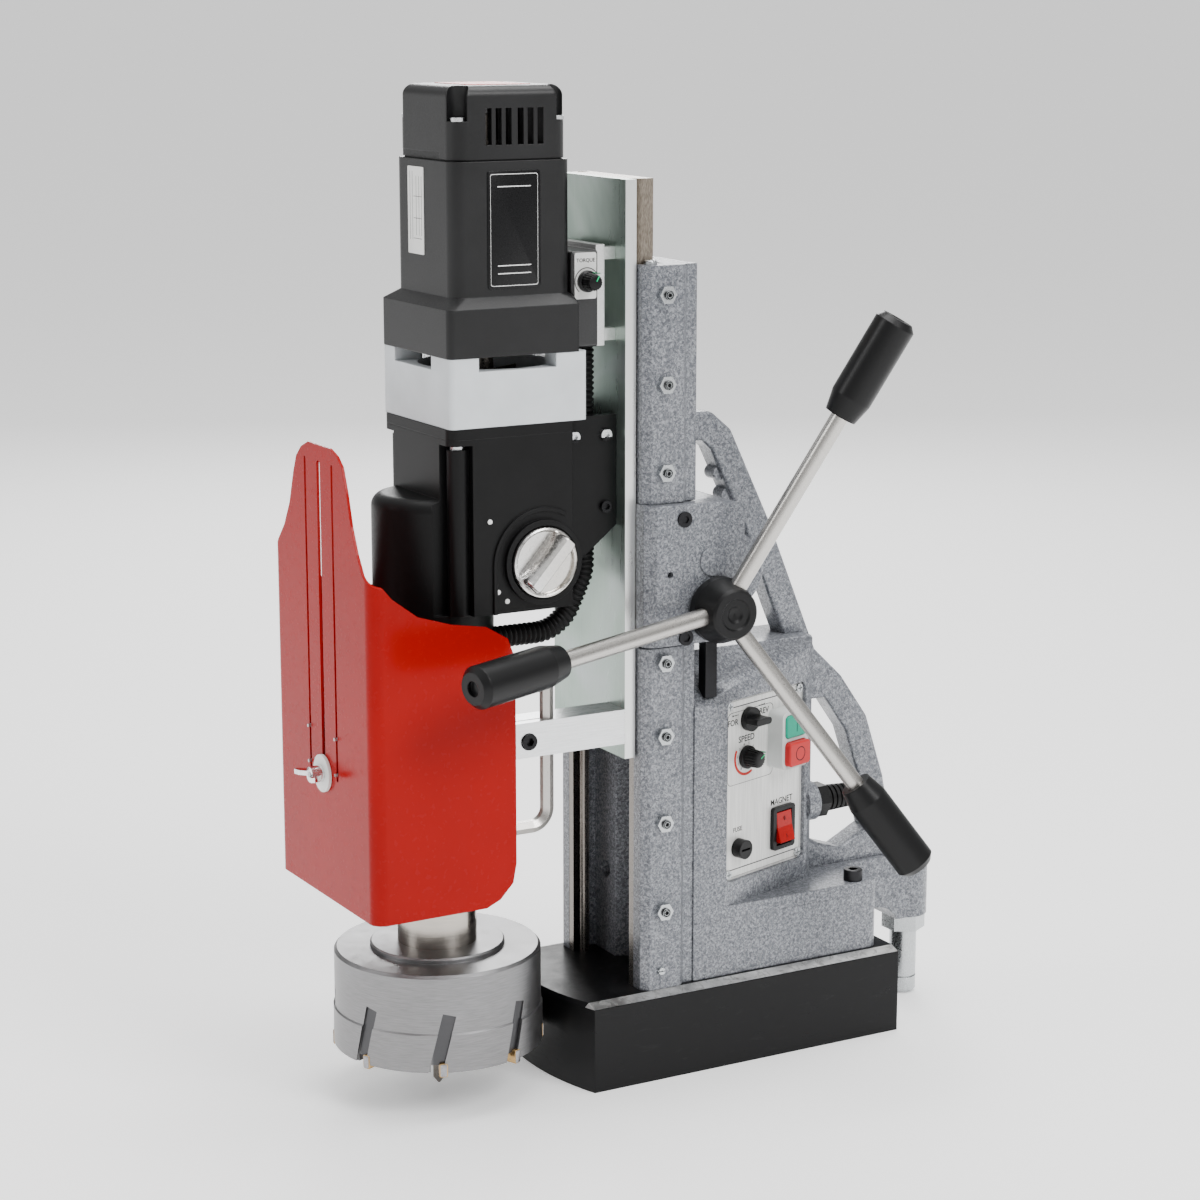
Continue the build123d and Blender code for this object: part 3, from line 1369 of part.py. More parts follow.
WING = ((3.5, -4.0), (3.5, -9.5), (9.0, -14.5), (13.5, -15.5), (14.5, -13.0), (10.0, -6.5))
with BuildPart() as wing_nut:
    with BuildSketch(front_plane(GUARD_FRONT - 2.5)):
        with Locations((0, CLAMP_Z)):
            Circle(6)
    extrude(amount=8, taper=6)
    with BuildSketch(level(CLAMP_Z - 1.6)):
        for side in (-1, 1):
            with BuildLine():
                Polyline(*[(side * x, GUARD_FRONT + y) for x, y in WING], close=True)
            make_face()
    extrude(amount=3.2)
    with BuildSketch(front_plane(GUARD_FRONT - 2.5)):
        with Locations((0, CLAMP_Z)):
            Circle(2.05)
    extrude(amount=20, mode=Mode.SUBTRACT)
save(wing_nut.part, "wing_nut")


def guard_wall(inset):
    half, front = GUARD_HALF - inset, GUARD_FRONT + inset
    bend = GUARD_BEND - inset
    Polyline((-half, front + bend), (-half, -180), (half, -180), (half, front + bend))
    TangentArc((half, front + bend), (half - bend, front), tangent=(0, -1))
    Line((half - bend, front), (-half + bend, front))
    TangentArc((-half + bend, front), (-half, front + bend), tangent=(-1, 0))


with BuildPart() as guard:
    with BuildSketch(level(GUARD_BOT)):
        with BuildLine():
            guard_wall(0)
        make_face()
    extrude(amount=GUARD_TOP - GUARD_BOT)
    with BuildSketch(level(GUARD_BOT)):
        with BuildLine():
            guard_wall(GUARD_T)
        make_face()
    extrude(amount=GUARD_TOP - GUARD_BOT, mode=Mode.SUBTRACT)
    with Locations((0, -180, 300)):
        Box(200, 10, 320, mode=Mode.SUBTRACT)
    # outline of the sides
    with BuildSketch(side_plane(-90)):
        with BuildLine():
            Polyline(
                (-291, 147), (-210, 147.5), (-200, 152), (-190.5, 162), (-188, 175),
                (-188, 312), (-193.5, 326), (-208.6, 335), (-232.7, 339), (-257, 346.6),
                (-275, 360), (-282.5, 369), (-286, 375), (-286, 450), (-291, 450), close=True,
            )
        make_face()
    extrude(amount=180, mode=Mode.INTERSECT)
    # outline of the front, rising to a rounded tab
    with BuildSketch(front_plane(-180)):
        with BuildLine():
            Polyline(
                (-78, 147), (-78, 366), (-69, 375), (-57, 388), (-47.6, 404), (-40, 426),
                (-35, 437), (-27, 444), (-16, 448.5), (18.5, 448.5), (29, 445), (36.5, 439),
                (43, 423), (49, 403), (57, 386), (65, 374), (78, 366), (78, 147), close=True,
            )
        make_face()
    extrude(amount=120, mode=Mode.INTERSECT)
    # three adjusting slots
    with BuildSketch(front_plane(-280)):
        with Locations((-SLOT_X, (SLOT_LOW + SLOT_HIGH) / 2), (SLOT_X, (SLOT_LOW + SLOT_HIGH) / 2)):
            SlotOverall(SLOT_HIGH - SLOT_LOW, SLOT_W, rotation=90)
        with Locations((0, (SLOT_LOW - 2 + SLOT_HIGH) / 2)):
            SlotOverall(SLOT_HIGH - SLOT_LOW + 2, 4.8, rotation=90)
    extrude(amount=20, mode=Mode.SUBTRACT)
save(guard.part, "guard")
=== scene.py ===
"""Visual model of the magnetic drill press: materials, printed panel, knobs, labels and trim
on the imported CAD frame. Metres, +Z up, spindle towards -Y, controls on the +X side."""

from math import cos, pi, radians, sin

import bmesh
import bpy
from mathutils import Matrix, Vector


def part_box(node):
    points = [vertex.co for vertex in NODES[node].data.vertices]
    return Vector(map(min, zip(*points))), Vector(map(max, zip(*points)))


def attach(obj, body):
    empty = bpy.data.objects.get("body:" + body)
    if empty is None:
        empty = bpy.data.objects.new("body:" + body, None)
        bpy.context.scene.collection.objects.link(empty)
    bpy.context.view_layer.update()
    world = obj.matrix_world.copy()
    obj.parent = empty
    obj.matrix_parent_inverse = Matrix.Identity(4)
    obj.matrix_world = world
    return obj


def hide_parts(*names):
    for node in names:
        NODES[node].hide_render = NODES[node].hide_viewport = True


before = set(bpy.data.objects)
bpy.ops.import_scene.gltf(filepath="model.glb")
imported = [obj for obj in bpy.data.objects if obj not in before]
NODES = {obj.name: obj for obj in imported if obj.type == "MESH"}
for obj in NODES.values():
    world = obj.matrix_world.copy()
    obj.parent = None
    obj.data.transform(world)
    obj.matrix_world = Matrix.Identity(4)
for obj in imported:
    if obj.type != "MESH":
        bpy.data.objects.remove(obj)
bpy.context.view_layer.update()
MM = 0.001

# places on the CAD where one node changes its finish, and where painted shade and highlights begin,
# in metres
SPINDLE_AHEAD = 0.209
CUTTER_SKIN, FLUTE_FLOOR, FLUTE_TOP = 0.0696, 0.0692, 0.0752
LID_SCREW_Z, CAP_SCREW_Z = 0.447, 0.6515
MAGNET_BEVEL_X, MAGNET_BEVEL_Z = 0.0593, 0.0592
SLIDE_EDGE_X, DOVETAIL_Y = 0.0493, -0.083
TORQUE_PLATE_Y = -0.107
# STEP_WIDTH also sets the width of the change into the painted highlight on the slide's edge
STEP_WIDTH = 0.0001                  # width of the change from one finish to the next

GIB_SCREW_FACE, GIB_SCREW_Y = 0.0637, -0.067
GIB_SCREW_HEIGHTS = (118.0, 180.5, 241.5, 292.0, 421.0, 479.5, 538.5)
GEAR_MARKS = ((-192.0, 397.5), (-186.3, 350.6), (-179.8, 344.0))
CUTTER_TEETH, TOOTH_Z, TOOTH_RADIUS = 8, 0.037, 0.0675

CAMERA_PLACE = (1.662, -1.019, 0.731)
CAMERA_PITCH, CAMERA_TURN, CAMERA_LENS = 78, 60.6, 85.7
FLOOR_HALF = 300                     # the floor reaches the horizon
LAMP_AIM = Vector((0, -0.05, 0.33))
LAMPS = (
    ("key", (2.3, 0.6, 2.3), 1.2, 70),
    ("front", (-0.6, -2.6, 1.6), 1.0, 26),
    ("top", (0.0, 0.2, 2.6), 1.6, 60),
    ("rim", (-2.2, 1.0, 1.4), 1.0, 30),
)


# ---------------------------------------------------------------- material helpers
def new_material(name, metallic=0.0, roughness=0.5, **sockets):
    material = bpy.data.materials.new(name)
    material.use_nodes = True
    tree = material.node_tree
    shader = tree.nodes["Principled BSDF"]
    shader.inputs["Metallic"].default_value = metallic
    shader.inputs["Roughness"].default_value = roughness
    for socket, value in sockets.items():
        shader.inputs[socket.replace("_", " ")].default_value = value
    return material, tree, shader


def coordinates(tree, stretch=(1, 1, 1)):
    place = tree.nodes.new("ShaderNodeTexCoord")
    mapping = tree.nodes.new("ShaderNodeMapping")
    mapping.inputs["Scale"].default_value = stretch
    tree.links.new(place.outputs["Object"], mapping.inputs["Vector"])
    return mapping.outputs["Vector"]


def noise(tree, scale, detail=3.0, roughness=0.5, stretch=(1, 1, 1), distortion=0.0):
    node = tree.nodes.new("ShaderNodeTexNoise")
    node.inputs["Scale"].default_value = scale
    node.inputs["Detail"].default_value = detail
    node.inputs["Roughness"].default_value = roughness
    node.inputs["Distortion"].default_value = distortion
    tree.links.new(coordinates(tree, stretch), node.inputs["Vector"])
    return node.outputs["Fac"]


def along(tree, axis):
    """Object coordinate along one axis, in metres."""
    place = tree.nodes.new("ShaderNodeTexCoord")
    split = tree.nodes.new("ShaderNodeSeparateXYZ")
    tree.links.new(place.outputs["Object"], split.inputs["Vector"])
    return split.outputs[axis]


def calculate(tree, operation, first, second=0.0):
    node = tree.nodes.new("ShaderNodeMath")
    node.operation = operation
    for socket, value in zip(node.inputs, (first, second)):
        if isinstance(value, (int, float)):
            socket.default_value = value
        else:
            tree.links.new(value, socket)
    return node.outputs["Value"]


def ramp(tree, factor, *stops):
    node = tree.nodes.new("ShaderNodeValToRGB")
    elements = node.color_ramp.elements
    while len(elements) < len(stops):
        elements.new(0.5)
    for element, (position, color) in zip(elements, stops):
        element.position = position
        element.color = (*color, 1) if len(color) == 3 else color
    tree.links.new(factor, node.inputs["Fac"])
    return node.outputs["Color"]


def spread(tree, factor, low, high, from_low=0.3, from_high=0.7):
    node = tree.nodes.new("ShaderNodeMapRange")
    node.inputs["From Min"].default_value = from_low
    node.inputs["From Max"].default_value = from_high
    node.inputs["To Min"].default_value = low
    node.inputs["To Max"].default_value = high
    tree.links.new(factor, node.inputs["Value"])
    return node.outputs["Result"]


def mix(tree, factor, first, second, mode="MIX"):
    node = tree.nodes.new("ShaderNodeMix")
    node.data_type = "RGBA"
    node.blend_type = mode
    sockets = (node.inputs[0], node.inputs[6], node.inputs[7])
    for socket, value in zip(sockets, (factor, first, second)):
        if hasattr(value, "is_output"):
            tree.links.new(value, socket)
        elif isinstance(value, (int, float)):
            socket.default_value = value
        else:
            socket.default_value = (*value, 1)
    return node.outputs[2]


def surface(tree, shader, height=None, strength=0.3, distance=0.3, edge=0.4):
    """Rounds the edges by a small bevel, in mm, and adds a bump of the given depth, in mm."""
    bevel = tree.nodes.new("ShaderNodeBevel")
    bevel.samples = 4
    bevel.inputs["Radius"].default_value = edge * MM
    normal = bevel.outputs["Normal"]
    if height is not None:
        bump = tree.nodes.new("ShaderNodeBump")
        bump.inputs["Strength"].default_value = strength
        bump.inputs["Distance"].default_value = distance * MM
        tree.links.new(height, bump.inputs["Height"])
        tree.links.new(normal, bump.inputs["Normal"])
        normal = bump.outputs["Normal"]
    tree.links.new(normal, shader.inputs["Normal"])


def link(tree, output, shader, socket):
    tree.links.new(output, shader.inputs[socket])


# ---------------------------------------------------------------- materials
def hammered_paint():
    material, tree, shader = new_material("hammered_silver_paint", metallic=0.25, roughness=0.34,
                                          Specular_IOR_Level=0.3, Coat_Weight=0.3,
                                          Coat_Roughness=0.12)
    fleck = noise(tree, 560, 3, 0.6, distortion=0.9)
    drift = noise(tree, 330, 3, 0.55)
    large = noise(tree, 12, 2)
    color = ramp(tree, fleck, (0.36, (0.085, 0.09, 0.104)), (0.5, (0.165, 0.172, 0.19)),
                 (0.62, (0.30, 0.31, 0.33)))
    cloud = ramp(tree, large, (0.3, (0.86, 0.87, 0.88)), (0.7, (1.0, 1.0, 1.0)))
    link(tree, mix(tree, 1.0, color, cloud, "MULTIPLY"), shader, "Base Color")
    link(tree, spread(tree, drift, 0.3, 0.46), shader, "Roughness")
    surface(tree, shader, drift, 0.3, 0.35, 1.2)
    return material


def textured_black(name, base=0.0025, grain=1500, depth=0.12, rough=(0.34, 0.5), gloss=0.18):
    material, tree, shader = new_material(name, Specular_IOR_Level=gloss)
    pores = noise(tree, grain, 2, 0.6)
    cloud = noise(tree, 22, 3)
    link(tree, ramp(tree, cloud, (0.3, (base, base, base * 1.05)),
                    (0.7, (base * 1.8, base * 1.8, base * 1.9))), shader, "Base Color")
    link(tree, spread(tree, pores, *rough), shader, "Roughness")
    surface(tree, shader, pores, 0.6, depth, 0.8)
    return material


def scratched_black_paint():
    """Black paint with scuffs, and a painted highlight on the bevels along the top, made as bright
    bare metal.
    """
    material, tree, shader = new_material("black_magnet_paint", Specular_IOR_Level=0.18,
                                          Coat_Weight=0.03, Coat_Roughness=0.12)
    scuffs = noise(tree, 30, 8, 0.72, (1, 1, 6), 0.4)
    fine = noise(tree, 900, 2)
    paint = ramp(tree, scuffs, (0.58, (0.003, 0.003, 0.0034)), (0.68, (0.008, 0.008, 0.0085)),
                 (0.76, (0.035, 0.035, 0.035)))
    # painted highlight: bright metal colour for the top bevels
    streak_wear_and_bevel_highlight = ramp(tree, scuffs, (0.3, (0.45, 0.45, 0.44)), (0.6, (0.7, 0.7, 0.69)))
    outside = calculate(tree, "GREATER_THAN", calculate(tree, "ABSOLUTE", along(tree, "X")),
                        MAGNET_BEVEL_X)
    above = calculate(tree, "GREATER_THAN", along(tree, "Z"), MAGNET_BEVEL_Z)
    bevel = calculate(tree, "MULTIPLY", outside, above)
    # noise that breaks up the painted highlight on the bevels
    highlight_breakup = noise(tree, 160, 5, 0.7, (1, 1, 1), 0.5)
    bevel = calculate(tree, "MULTIPLY", bevel, spread(tree, highlight_breakup, 0.45, 1.0, 0.36, 0.5))
    # the top bevels take the painted highlight colour and turn metallic
    link(tree, mix(tree, bevel, paint, streak_wear_and_bevel_highlight), shader, "Base Color")
    link(tree, bevel, shader, "Metallic")
    link(tree, spread(tree, scuffs, 0.24, 0.5), shader, "Roughness")
    surface(tree, shader, fine, 0.25, 0.06, 0.9)
    return material


def metal(name, color, rough=(0.25, 0.4), stretch=(1, 1, 40), scale=60, bump=0.02,
          tint=None, edge=0.3, metallic=1.0):
    """Machined metal: fine lines along the axis with the smallest stretch."""
    material, tree, shader = new_material(name, metallic=metallic)
    lines = noise(tree, scale, 4, 0.6, stretch)
    cloud = noise(tree, 9, 3, 0.55)
    dark = tuple(c * 0.82 for c in color)
    shade = ramp(tree, lines, (0.35, dark), (0.65, color))
    if tint:
        shade = mix(tree, spread(tree, cloud, 0.0, 0.75, 0.4, 0.65), shade, tint, "MULTIPLY")
    link(tree, shade, shader, "Base Color")
    link(tree, spread(tree, lines, *rough), shader, "Roughness")
    surface(tree, shader, lines, 0.25, bump, edge)
    return material


def slide_steel():
    """Passivated zinc on the plate with a painted highlight on its +X edge, bare oiled steel on the
    dovetail behind it.
    """
    material, tree, shader = new_material("zinc_passivated_slide", metallic=0.9)
    streaks = noise(tree, 26, 5, 0.6, (12, 12, 1), 0.4)
    cloud = noise(tree, 7, 3, 0.6, distortion=1.2)
    fine = noise(tree, 300, 3, 0.6, (6, 6, 1))
    plated = ramp(tree, cloud, (0.36, (0.26, 0.33, 0.29)), (0.5, (0.36, 0.44, 0.39)),
                  (0.66, (0.45, 0.49, 0.49)))
    streak_wear_and_bevel_highlight = ramp(tree, streaks, (0.35, (0.92, 0.92, 0.92)), (0.65, (1, 1, 1)))
    plated = mix(tree, 1.0, plated, streak_wear_and_bevel_highlight, "MULTIPLY")
    # painted highlight: the plate's edge at +X is painted near white
    edge = spread(tree, along(tree, "X"), 0, 1, SLIDE_EDGE_X - STEP_WIDTH / 2, SLIDE_EDGE_X)
    plated = mix(tree, edge, plated, (0.78, 0.79, 0.78))
    bare = ramp(tree, fine, (0.35, (0.16, 0.13, 0.1)), (0.65, (0.33, 0.29, 0.24)))
    behind = spread(tree, along(tree, "Y"), 0, 1, DOVETAIL_Y - STEP_WIDTH, DOVETAIL_Y)
    link(tree, mix(tree, behind, plated, bare), shader, "Base Color")
    link(tree, spread(tree, streaks, 0.26, 0.34), shader, "Roughness")
    surface(tree, shader, streaks, 0.05, 0.02, 0.5)
    return material


def torque_box_finish():
    """Black moulded box on a bright aluminium back plate."""
    material, tree, shader = new_material("torque_box_finish")
    grain = noise(tree, 1100, 2)
    plate_on = spread(tree, along(tree, "Y"), 0, 1, TORQUE_PLATE_Y - STEP_WIDTH, TORQUE_PLATE_Y)
    black = ramp(tree, grain, (0.3, (0.012, 0.012, 0.012)), (0.7, (0.02, 0.02, 0.021)))
    bright = ramp(tree, grain, (0.3, (0.72, 0.72, 0.71)), (0.7, (0.84, 0.84, 0.83)))
    link(tree, mix(tree, plate_on, black, bright), shader, "Base Color")
    link(tree, plate_on, shader, "Metallic")
    link(tree, spread(tree, grain, 0.28, 0.42), shader, "Roughness")
    surface(tree, shader, grain, 0.25, 0.04, 0.6)
    return material


def red_guard_paint():
    material, tree, shader = new_material("red_guard_paint", Specular_IOR_Level=0.1,
                                          Coat_Weight=0.02, Coat_Roughness=0.07)
    peel = noise(tree, 260, 2)
    cloud = noise(tree, 12, 4)
    specks = noise(tree, 700, 3, 0.7)
    color = ramp(tree, cloud, (0.3, (0.26, 0.0, 0.0)), (0.7, (0.3, 0.0, 0.0)))
    chips = ramp(tree, specks, (0.84, (0, 0, 0)), (0.9, (1, 1, 1)))
    link(tree, mix(tree, chips, color, (0.42, 0.03, 0.02)), shader, "Base Color")
    link(tree, spread(tree, peel, 0.16, 0.3), shader, "Roughness")
    surface(tree, shader, peel, 0.12, 0.12, 0.5)
    return material


def moulded(name, color, rough=(0.28, 0.42), depth=0.03, edge=0.5, coat=0.0):
    material, tree, shader = new_material(name, Specular_IOR_Level=0.2,
                                          Coat_Weight=coat, Coat_Roughness=0.1)
    cloud = noise(tree, 35, 3)
    grain = noise(tree, 1300, 2)
    link(tree, ramp(tree, cloud, (0.3, tuple(c * 0.88 for c in color)), (0.7, color)),
         shader, "Base Color")
    link(tree, spread(tree, grain, *rough), shader, "Roughness")
    surface(tree, shader, grain, 0.3, depth, edge)
    return material


def fluted_cutter_steel():
    """Ground steel, with painted shade inside the flutes, where the radius is below the ground
    surface.
    """
    material, tree, shader = new_material("ground_cutter_steel", metallic=1.0)
    lines = noise(tree, 30, 4, 0.6, (3, 3, 60))
    cloud = noise(tree, 14, 3, 0.55)
    ground = ramp(tree, lines, (0.35, (0.21, 0.21, 0.215)), (0.65, (0.28, 0.28, 0.285)))
    ground = mix(tree, spread(tree, cloud, 0.0, 0.5), ground, (0.8, 0.78, 0.76), "MULTIPLY")
    aside = calculate(tree, "POWER", along(tree, "X"), 2.0)
    ahead = calculate(tree, "POWER", calculate(tree, "ADD", along(tree, "Y"), SPINDLE_AHEAD), 2.0)
    radius = calculate(tree, "SQRT", calculate(tree, "ADD", aside, ahead))
    # painted shade: mask of the flute recesses
    flute = spread(tree, radius, 1.0, 0.0, FLUTE_FLOOR, CUTTER_SKIN)
    below = calculate(tree, "LESS_THAN", along(tree, "Z"), FLUTE_TOP)
    flute = calculate(tree, "MULTIPLY", flute, below)
    # the flutes take a near-black painted shade colour
    link(tree, mix(tree, flute, ground, (0.075, 0.075, 0.078)), shader, "Base Color")
    link(tree, spread(tree, lines, 0.32, 0.46), shader, "Roughness")
    surface(tree, shader, lines, 0.2, 0.01, 0.3)
    return material


def screw_steel():
    """Black oxide bolts in the slide; the lid and the cap have bright zinc screws."""
    material, tree, shader = new_material("slide_screw_steel", metallic=1.0)
    grain = noise(tree, 60, 4, 0.6, (20, 20, 20))
    height = along(tree, "Z")
    lid = calculate(tree, "COMPARE", height, LID_SCREW_Z)
    lid.node.inputs[2].default_value = 2.5 * MM
    cap = calculate(tree, "GREATER_THAN", height, CAP_SCREW_Z)
    bright = calculate(tree, "MAXIMUM", lid, cap)
    zinc = ramp(tree, grain, (0.35, (0.6, 0.61, 0.62)), (0.65, (0.78, 0.79, 0.8)))
    link(tree, mix(tree, bright, (0.02, 0.02, 0.021), zinc), shader, "Base Color")
    link(tree, spread(tree, grain, 0.2, 0.38), shader, "Roughness")
    surface(tree, shader, grain, 0.25, 0.02, 0.3)
    return material


FINISH = {
    "hammertone": hammered_paint(),
    "black_texture": textured_black("black_cast_texture"),
    "motor_black": textured_black("motor_black_plastic", 0.005, 1100, 0.12, (0.3, 0.44), 0.32),
    "black_paint": scratched_black_paint(),
    "ring_grey": moulded("light_grey_casting", (0.62, 0.65, 0.67), (0.4, 0.55), 0.08, 0.8),
    "slide_steel": slide_steel(),
    "torque_box": torque_box_finish(),
    "dark_steel": metal("oiled_steel", (0.22, 0.2, 0.18), (0.2, 0.4), (60, 60, 60), 20),
    "stainless": metal("satin_stainless", (0.56, 0.54, 0.51), (0.24, 0.38), (90, 90, 90), 18, 0.01),
    "zinc": metal("zinc_plate", (0.52, 0.54, 0.55), (0.2, 0.38), (20, 20, 20), 40),
    "black_screw": metal("black_oxide_screw", (0.03, 0.03, 0.032), (0.3, 0.5), (20, 20, 20), 50),
    "aluminium": metal("milled_aluminium", (0.83, 0.84, 0.85), (0.24, 0.36), (30, 1, 30), 40, 0.02),
    "silver_panel": metal("silver_panel_film", (0.74, 0.74, 0.72), (0.36, 0.5), (60, 1, 1), 30,
                          0.004, metallic=0.25),
    "knob_silver": metal("cast_knob_silver", (0.82, 0.82, 0.82), (0.12, 0.3), (12, 12, 12), 30,
                         0.05, (0.78, 0.74, 0.68)),
    "cutter_steel": fluted_cutter_steel(),
    "screw_steel": screw_steel(),
    "bright_steel": metal("turned_arbor_steel", (0.5, 0.46, 0.41), (0.12, 0.26), (2, 2, 60), 30,
                          0.01),
    "bronze": metal("bearing_bronze", (0.55, 0.36, 0.16), (0.25, 0.4), (20, 20, 20), 40),
    "grip": moulded("black_grip_plastic", (0.006, 0.006, 0.0063), (0.3, 0.4), 0.02, 1.0),
    "black_plastic": moulded("black_plastic", (0.004, 0.004, 0.0043), (0.26, 0.38)),
    "rubber": moulded("black_rubber", (0.004, 0.004, 0.004), (0.4, 0.55)),
    "grey_plastic": moulded("grey_bezel_plastic", (0.55, 0.57, 0.56), (0.3, 0.42)),
    "green": moulded("green_button_plastic", (0.0, 0.3, 0.19), (0.28, 0.38)),
    "red": moulded("red_button_plastic", (0.5, 0.02, 0.022), (0.28, 0.38)),
    "rocker_red": moulded("red_rocker_plastic", (0.36, 0.001, 0.001), (0.14, 0.22), coat=0.03),
    "guard_red": red_guard_paint(),
    "nylon": moulded("nylon_washer", (0.82, 0.82, 0.8), (0.35, 0.5)),
    "chrome": metal("chrome_wing_nut", (0.86, 0.86, 0.87), (0.05, 0.14), (10, 10, 10), 40),
    "label_white": moulded("label_white", (0.78, 0.78, 0.76), (0.3, 0.45)),
    "badge": moulded("badge_dark", (0.004, 0.004, 0.0045), (0.24, 0.34), coat=0.05),
    "ink": moulded("print_ink", (0.003, 0.003, 0.003), (0.4, 0.5), 0.001, 0.01),
    "red_ink": moulded("print_red_ink", (0.5, 0.02, 0.012), (0.4, 0.5), 0.001, 0.01),
    "paint_white": moulded("paint_white", (0.85, 0.85, 0.84), (0.3, 0.45), 0.001, 0.05),
    "green_mark": moulded("knob_green_mark", (0.0, 0.4, 0.15), (0.3, 0.4), 0.001, 0.01),
    "carbide": metal("carbide_tip", (0.34, 0.34, 0.36), (0.25, 0.4), (10, 10, 10), 60),
    "copper": metal("enamelled_copper", (0.55, 0.22, 0.08), (0.25, 0.4), (40, 40, 3), 60),
    "board": moulded("circuit_board", (0.02, 0.16, 0.07), (0.3, 0.4)),
    "resin": moulded("potting_resin", (0.05, 0.04, 0.03), (0.3, 0.5)),
}

NODE_FINISH = {
    "magnet_body": "black_paint", "magnet_coil": "copper", "magnet_potting": "resin",
    "foot_casting": "hammertone", "column_casting": "hammertone", "housing_casting": "hammertone",
    "carry_handle": "hammertone", "feed_gear_case": "hammertone", "gib_strips": "dark_steel",
    "column_screws": "zinc", "cover_screws": "black_screw", "shaft_bushes": "bronze",
    "control_panel": "silver_panel", "start_stop_bezel": "grey_plastic",
    "magnet_switch_frame": "black_plastic", "switch_bodies": "black_plastic",
    "control_board": "board", "cable_gland": "black_plastic", "cable_relief": "rubber",
    "guide_rod": "dark_steel", "jack_nut": "zinc", "drop_bar": "black_screw",
    "jack_foot": "zinc", "feed_shaft": "dark_steel", "feed_hub": "grip",
    "feed_arms": "stainless", "feed_grips": "grip", "pinion_shaft": "dark_steel",
    "start_button": "green", "stop_button": "red", "magnet_rocker": "rocker_red",
    "speed_knob": "black_plastic", "direction_knob": "black_plastic", "fuse_cap": "black_plastic",
    "slide_plate": "slide_steel", "feed_rack": "dark_steel", "arm_bracket": "aluminium",
    "torque_box": "torque_box", "torque_panel": "silver_panel", "conduit": "rubber",
    "gearbox_case": "black_texture", "gearbox_lid": "black_texture", "slide_screws": "screw_steel",
    "fan_ring": "ring_grey", "motor_housing": "motor_black", "motor_cap": "motor_black",
    "stator": "copper", "rating_plates": "badge", "torque_knob": "black_plastic",
    "gear_knob": "knob_silver", "armature": "dark_steel", "layshaft": "dark_steel",
    "spindle": "bright_steel", "cutter": "cutter_steel", "pilot_pin": "dark_steel",
    "guard_rod": "stainless", "guard_bracket": "zinc", "guard_washer": "nylon",
    "guard": "guard_red", "wing_nut": "chrome",
}
for node_name, finish_name in NODE_FINISH.items():
    for slot in NODES[node_name].material_slots:
        slot.material = FINISH[finish_name]


# ---------------------------------------------------------------- mesh helpers
def build(name, bm, body, finish, smooth=True, replace=()):
    """Turns a bmesh into a piece that rides on a body and takes a finish."""
    mesh = bpy.data.meshes.new(name)
    bmesh.ops.recalc_face_normals(bm, faces=bm.faces)
    bm.to_mesh(mesh)
    bm.free()
    mesh.materials.append(FINISH[finish])
    piece = bpy.data.objects.new(name, mesh)
    bpy.context.scene.collection.objects.link(piece)
    if smooth:
        mesh.shade_smooth()
        mesh.set_sharp_from_angle(angle=radians(35))
    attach(piece, body)
    if replace:
        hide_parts(*replace)
    return piece


def basis(origin, x_dir, z_dir):
    """Matrix of a local frame: x along x_dir, z along z_dir."""
    x, z = Vector(x_dir).normalized(), Vector(z_dir).normalized()
    y = z.cross(x)
    matrix = Matrix((x, y, z)).transposed().to_4x4()
    matrix.translation = Vector(origin)
    return matrix


def loft_rings(bm, rings, cap_ends=True):
    """Joins rings with the same number of points into a closed skin."""
    rows = [[bm.verts.new(p) for p in ring] for ring in rings]
    count = len(rows[0])
    for low, high in zip(rows, rows[1:]):
        for i in range(count):
            bm.faces.new((low[i], low[(i + 1) % count], high[(i + 1) % count], high[i]))
    if cap_ends:
        bm.faces.new(list(reversed(rows[0])))
        bm.faces.new(rows[-1])
    return rows


def turned(bm, matrix, profile, segments=64, flute=None):
    """Skin turned about the local z axis; flute(angle, height) scales the radius."""
    rings = []
    for radius, height in profile:
        ring = []
        for i in range(segments):
            angle = 2 * pi * i / segments
            r = radius * (flute(angle, height) if flute else 1)
            ring.append(matrix @ Vector((r * cos(angle) * MM, r * sin(angle) * MM, height * MM)))
        rings.append(ring)
    loft_rings(bm, rings)


def rounded_outline(width, height, radius, steps=6):
    points = []
    corners = ((1, 1, 0), (-1, 1, 90), (-1, -1, 180), (1, -1, 270))
    for sx, sy, start in corners:
        for k in range(steps + 1):
            a = radians(start + 90 * k / steps)
            points.append((sx * (width / 2 - radius) + radius * cos(a),
                           sy * (height / 2 - radius) + radius * sin(a)))
    return points


def plate(bm, matrix, outline, low, high, edge=0.0):
    """Flat plate from a 2-D outline, with an optional rounded upper edge, all in mm."""
    def ring(scale, z):
        return [matrix @ Vector((x * scale * MM, y * scale * MM, z * MM)) for x, y in outline]
    size = max(max(abs(x), abs(y)) for x, y in outline)
    levels = [(1.0, low), (1.0, high - edge)]
    if edge:
        levels += [(1 - 0.3 * edge / size, high - 0.3 * edge), (1 - edge / size, high)]
    loft_rings(bm, [ring(s, z) for s, z in levels])


def frame_line(bm, matrix, outline, thickness, low, high):
    """Thin closed band that follows an outline."""
    size = max(max(abs(x), abs(y)) for x, y in outline)
    inner = 1 - thickness / size
    rings = []
    for scale, z in ((1, low), (1, high), (inner, high), (inner, low)):
        rings.append([matrix @ Vector((x * scale * MM, y * scale * MM, z * MM))
                      for x, y in outline])
    rows = [[bm.verts.new(p) for p in ring] for ring in rings]
    count = len(rows[0])
    for a, b in zip(rows, rows[1:] + rows[:1]):
        for i in range(count):
            bm.faces.new((a[i], a[(i + 1) % count], b[(i + 1) % count], b[i]))


def arc_band(bm, matrix, r_in, r_out, start, end, low, high, steps=32):
    """Flat band along part of a circle, in mm and degrees."""
    rings = []
    for k in range(steps + 1):
        a = radians(start + (end - start) * k / steps)
        rings.append([matrix @ Vector((r * cos(a) * MM, r * sin(a) * MM, z * MM))
                      for r, z in ((r_in, low), (r_out, low), (r_out, high), (r_in, high))])
    loft_rings(bm, rings)


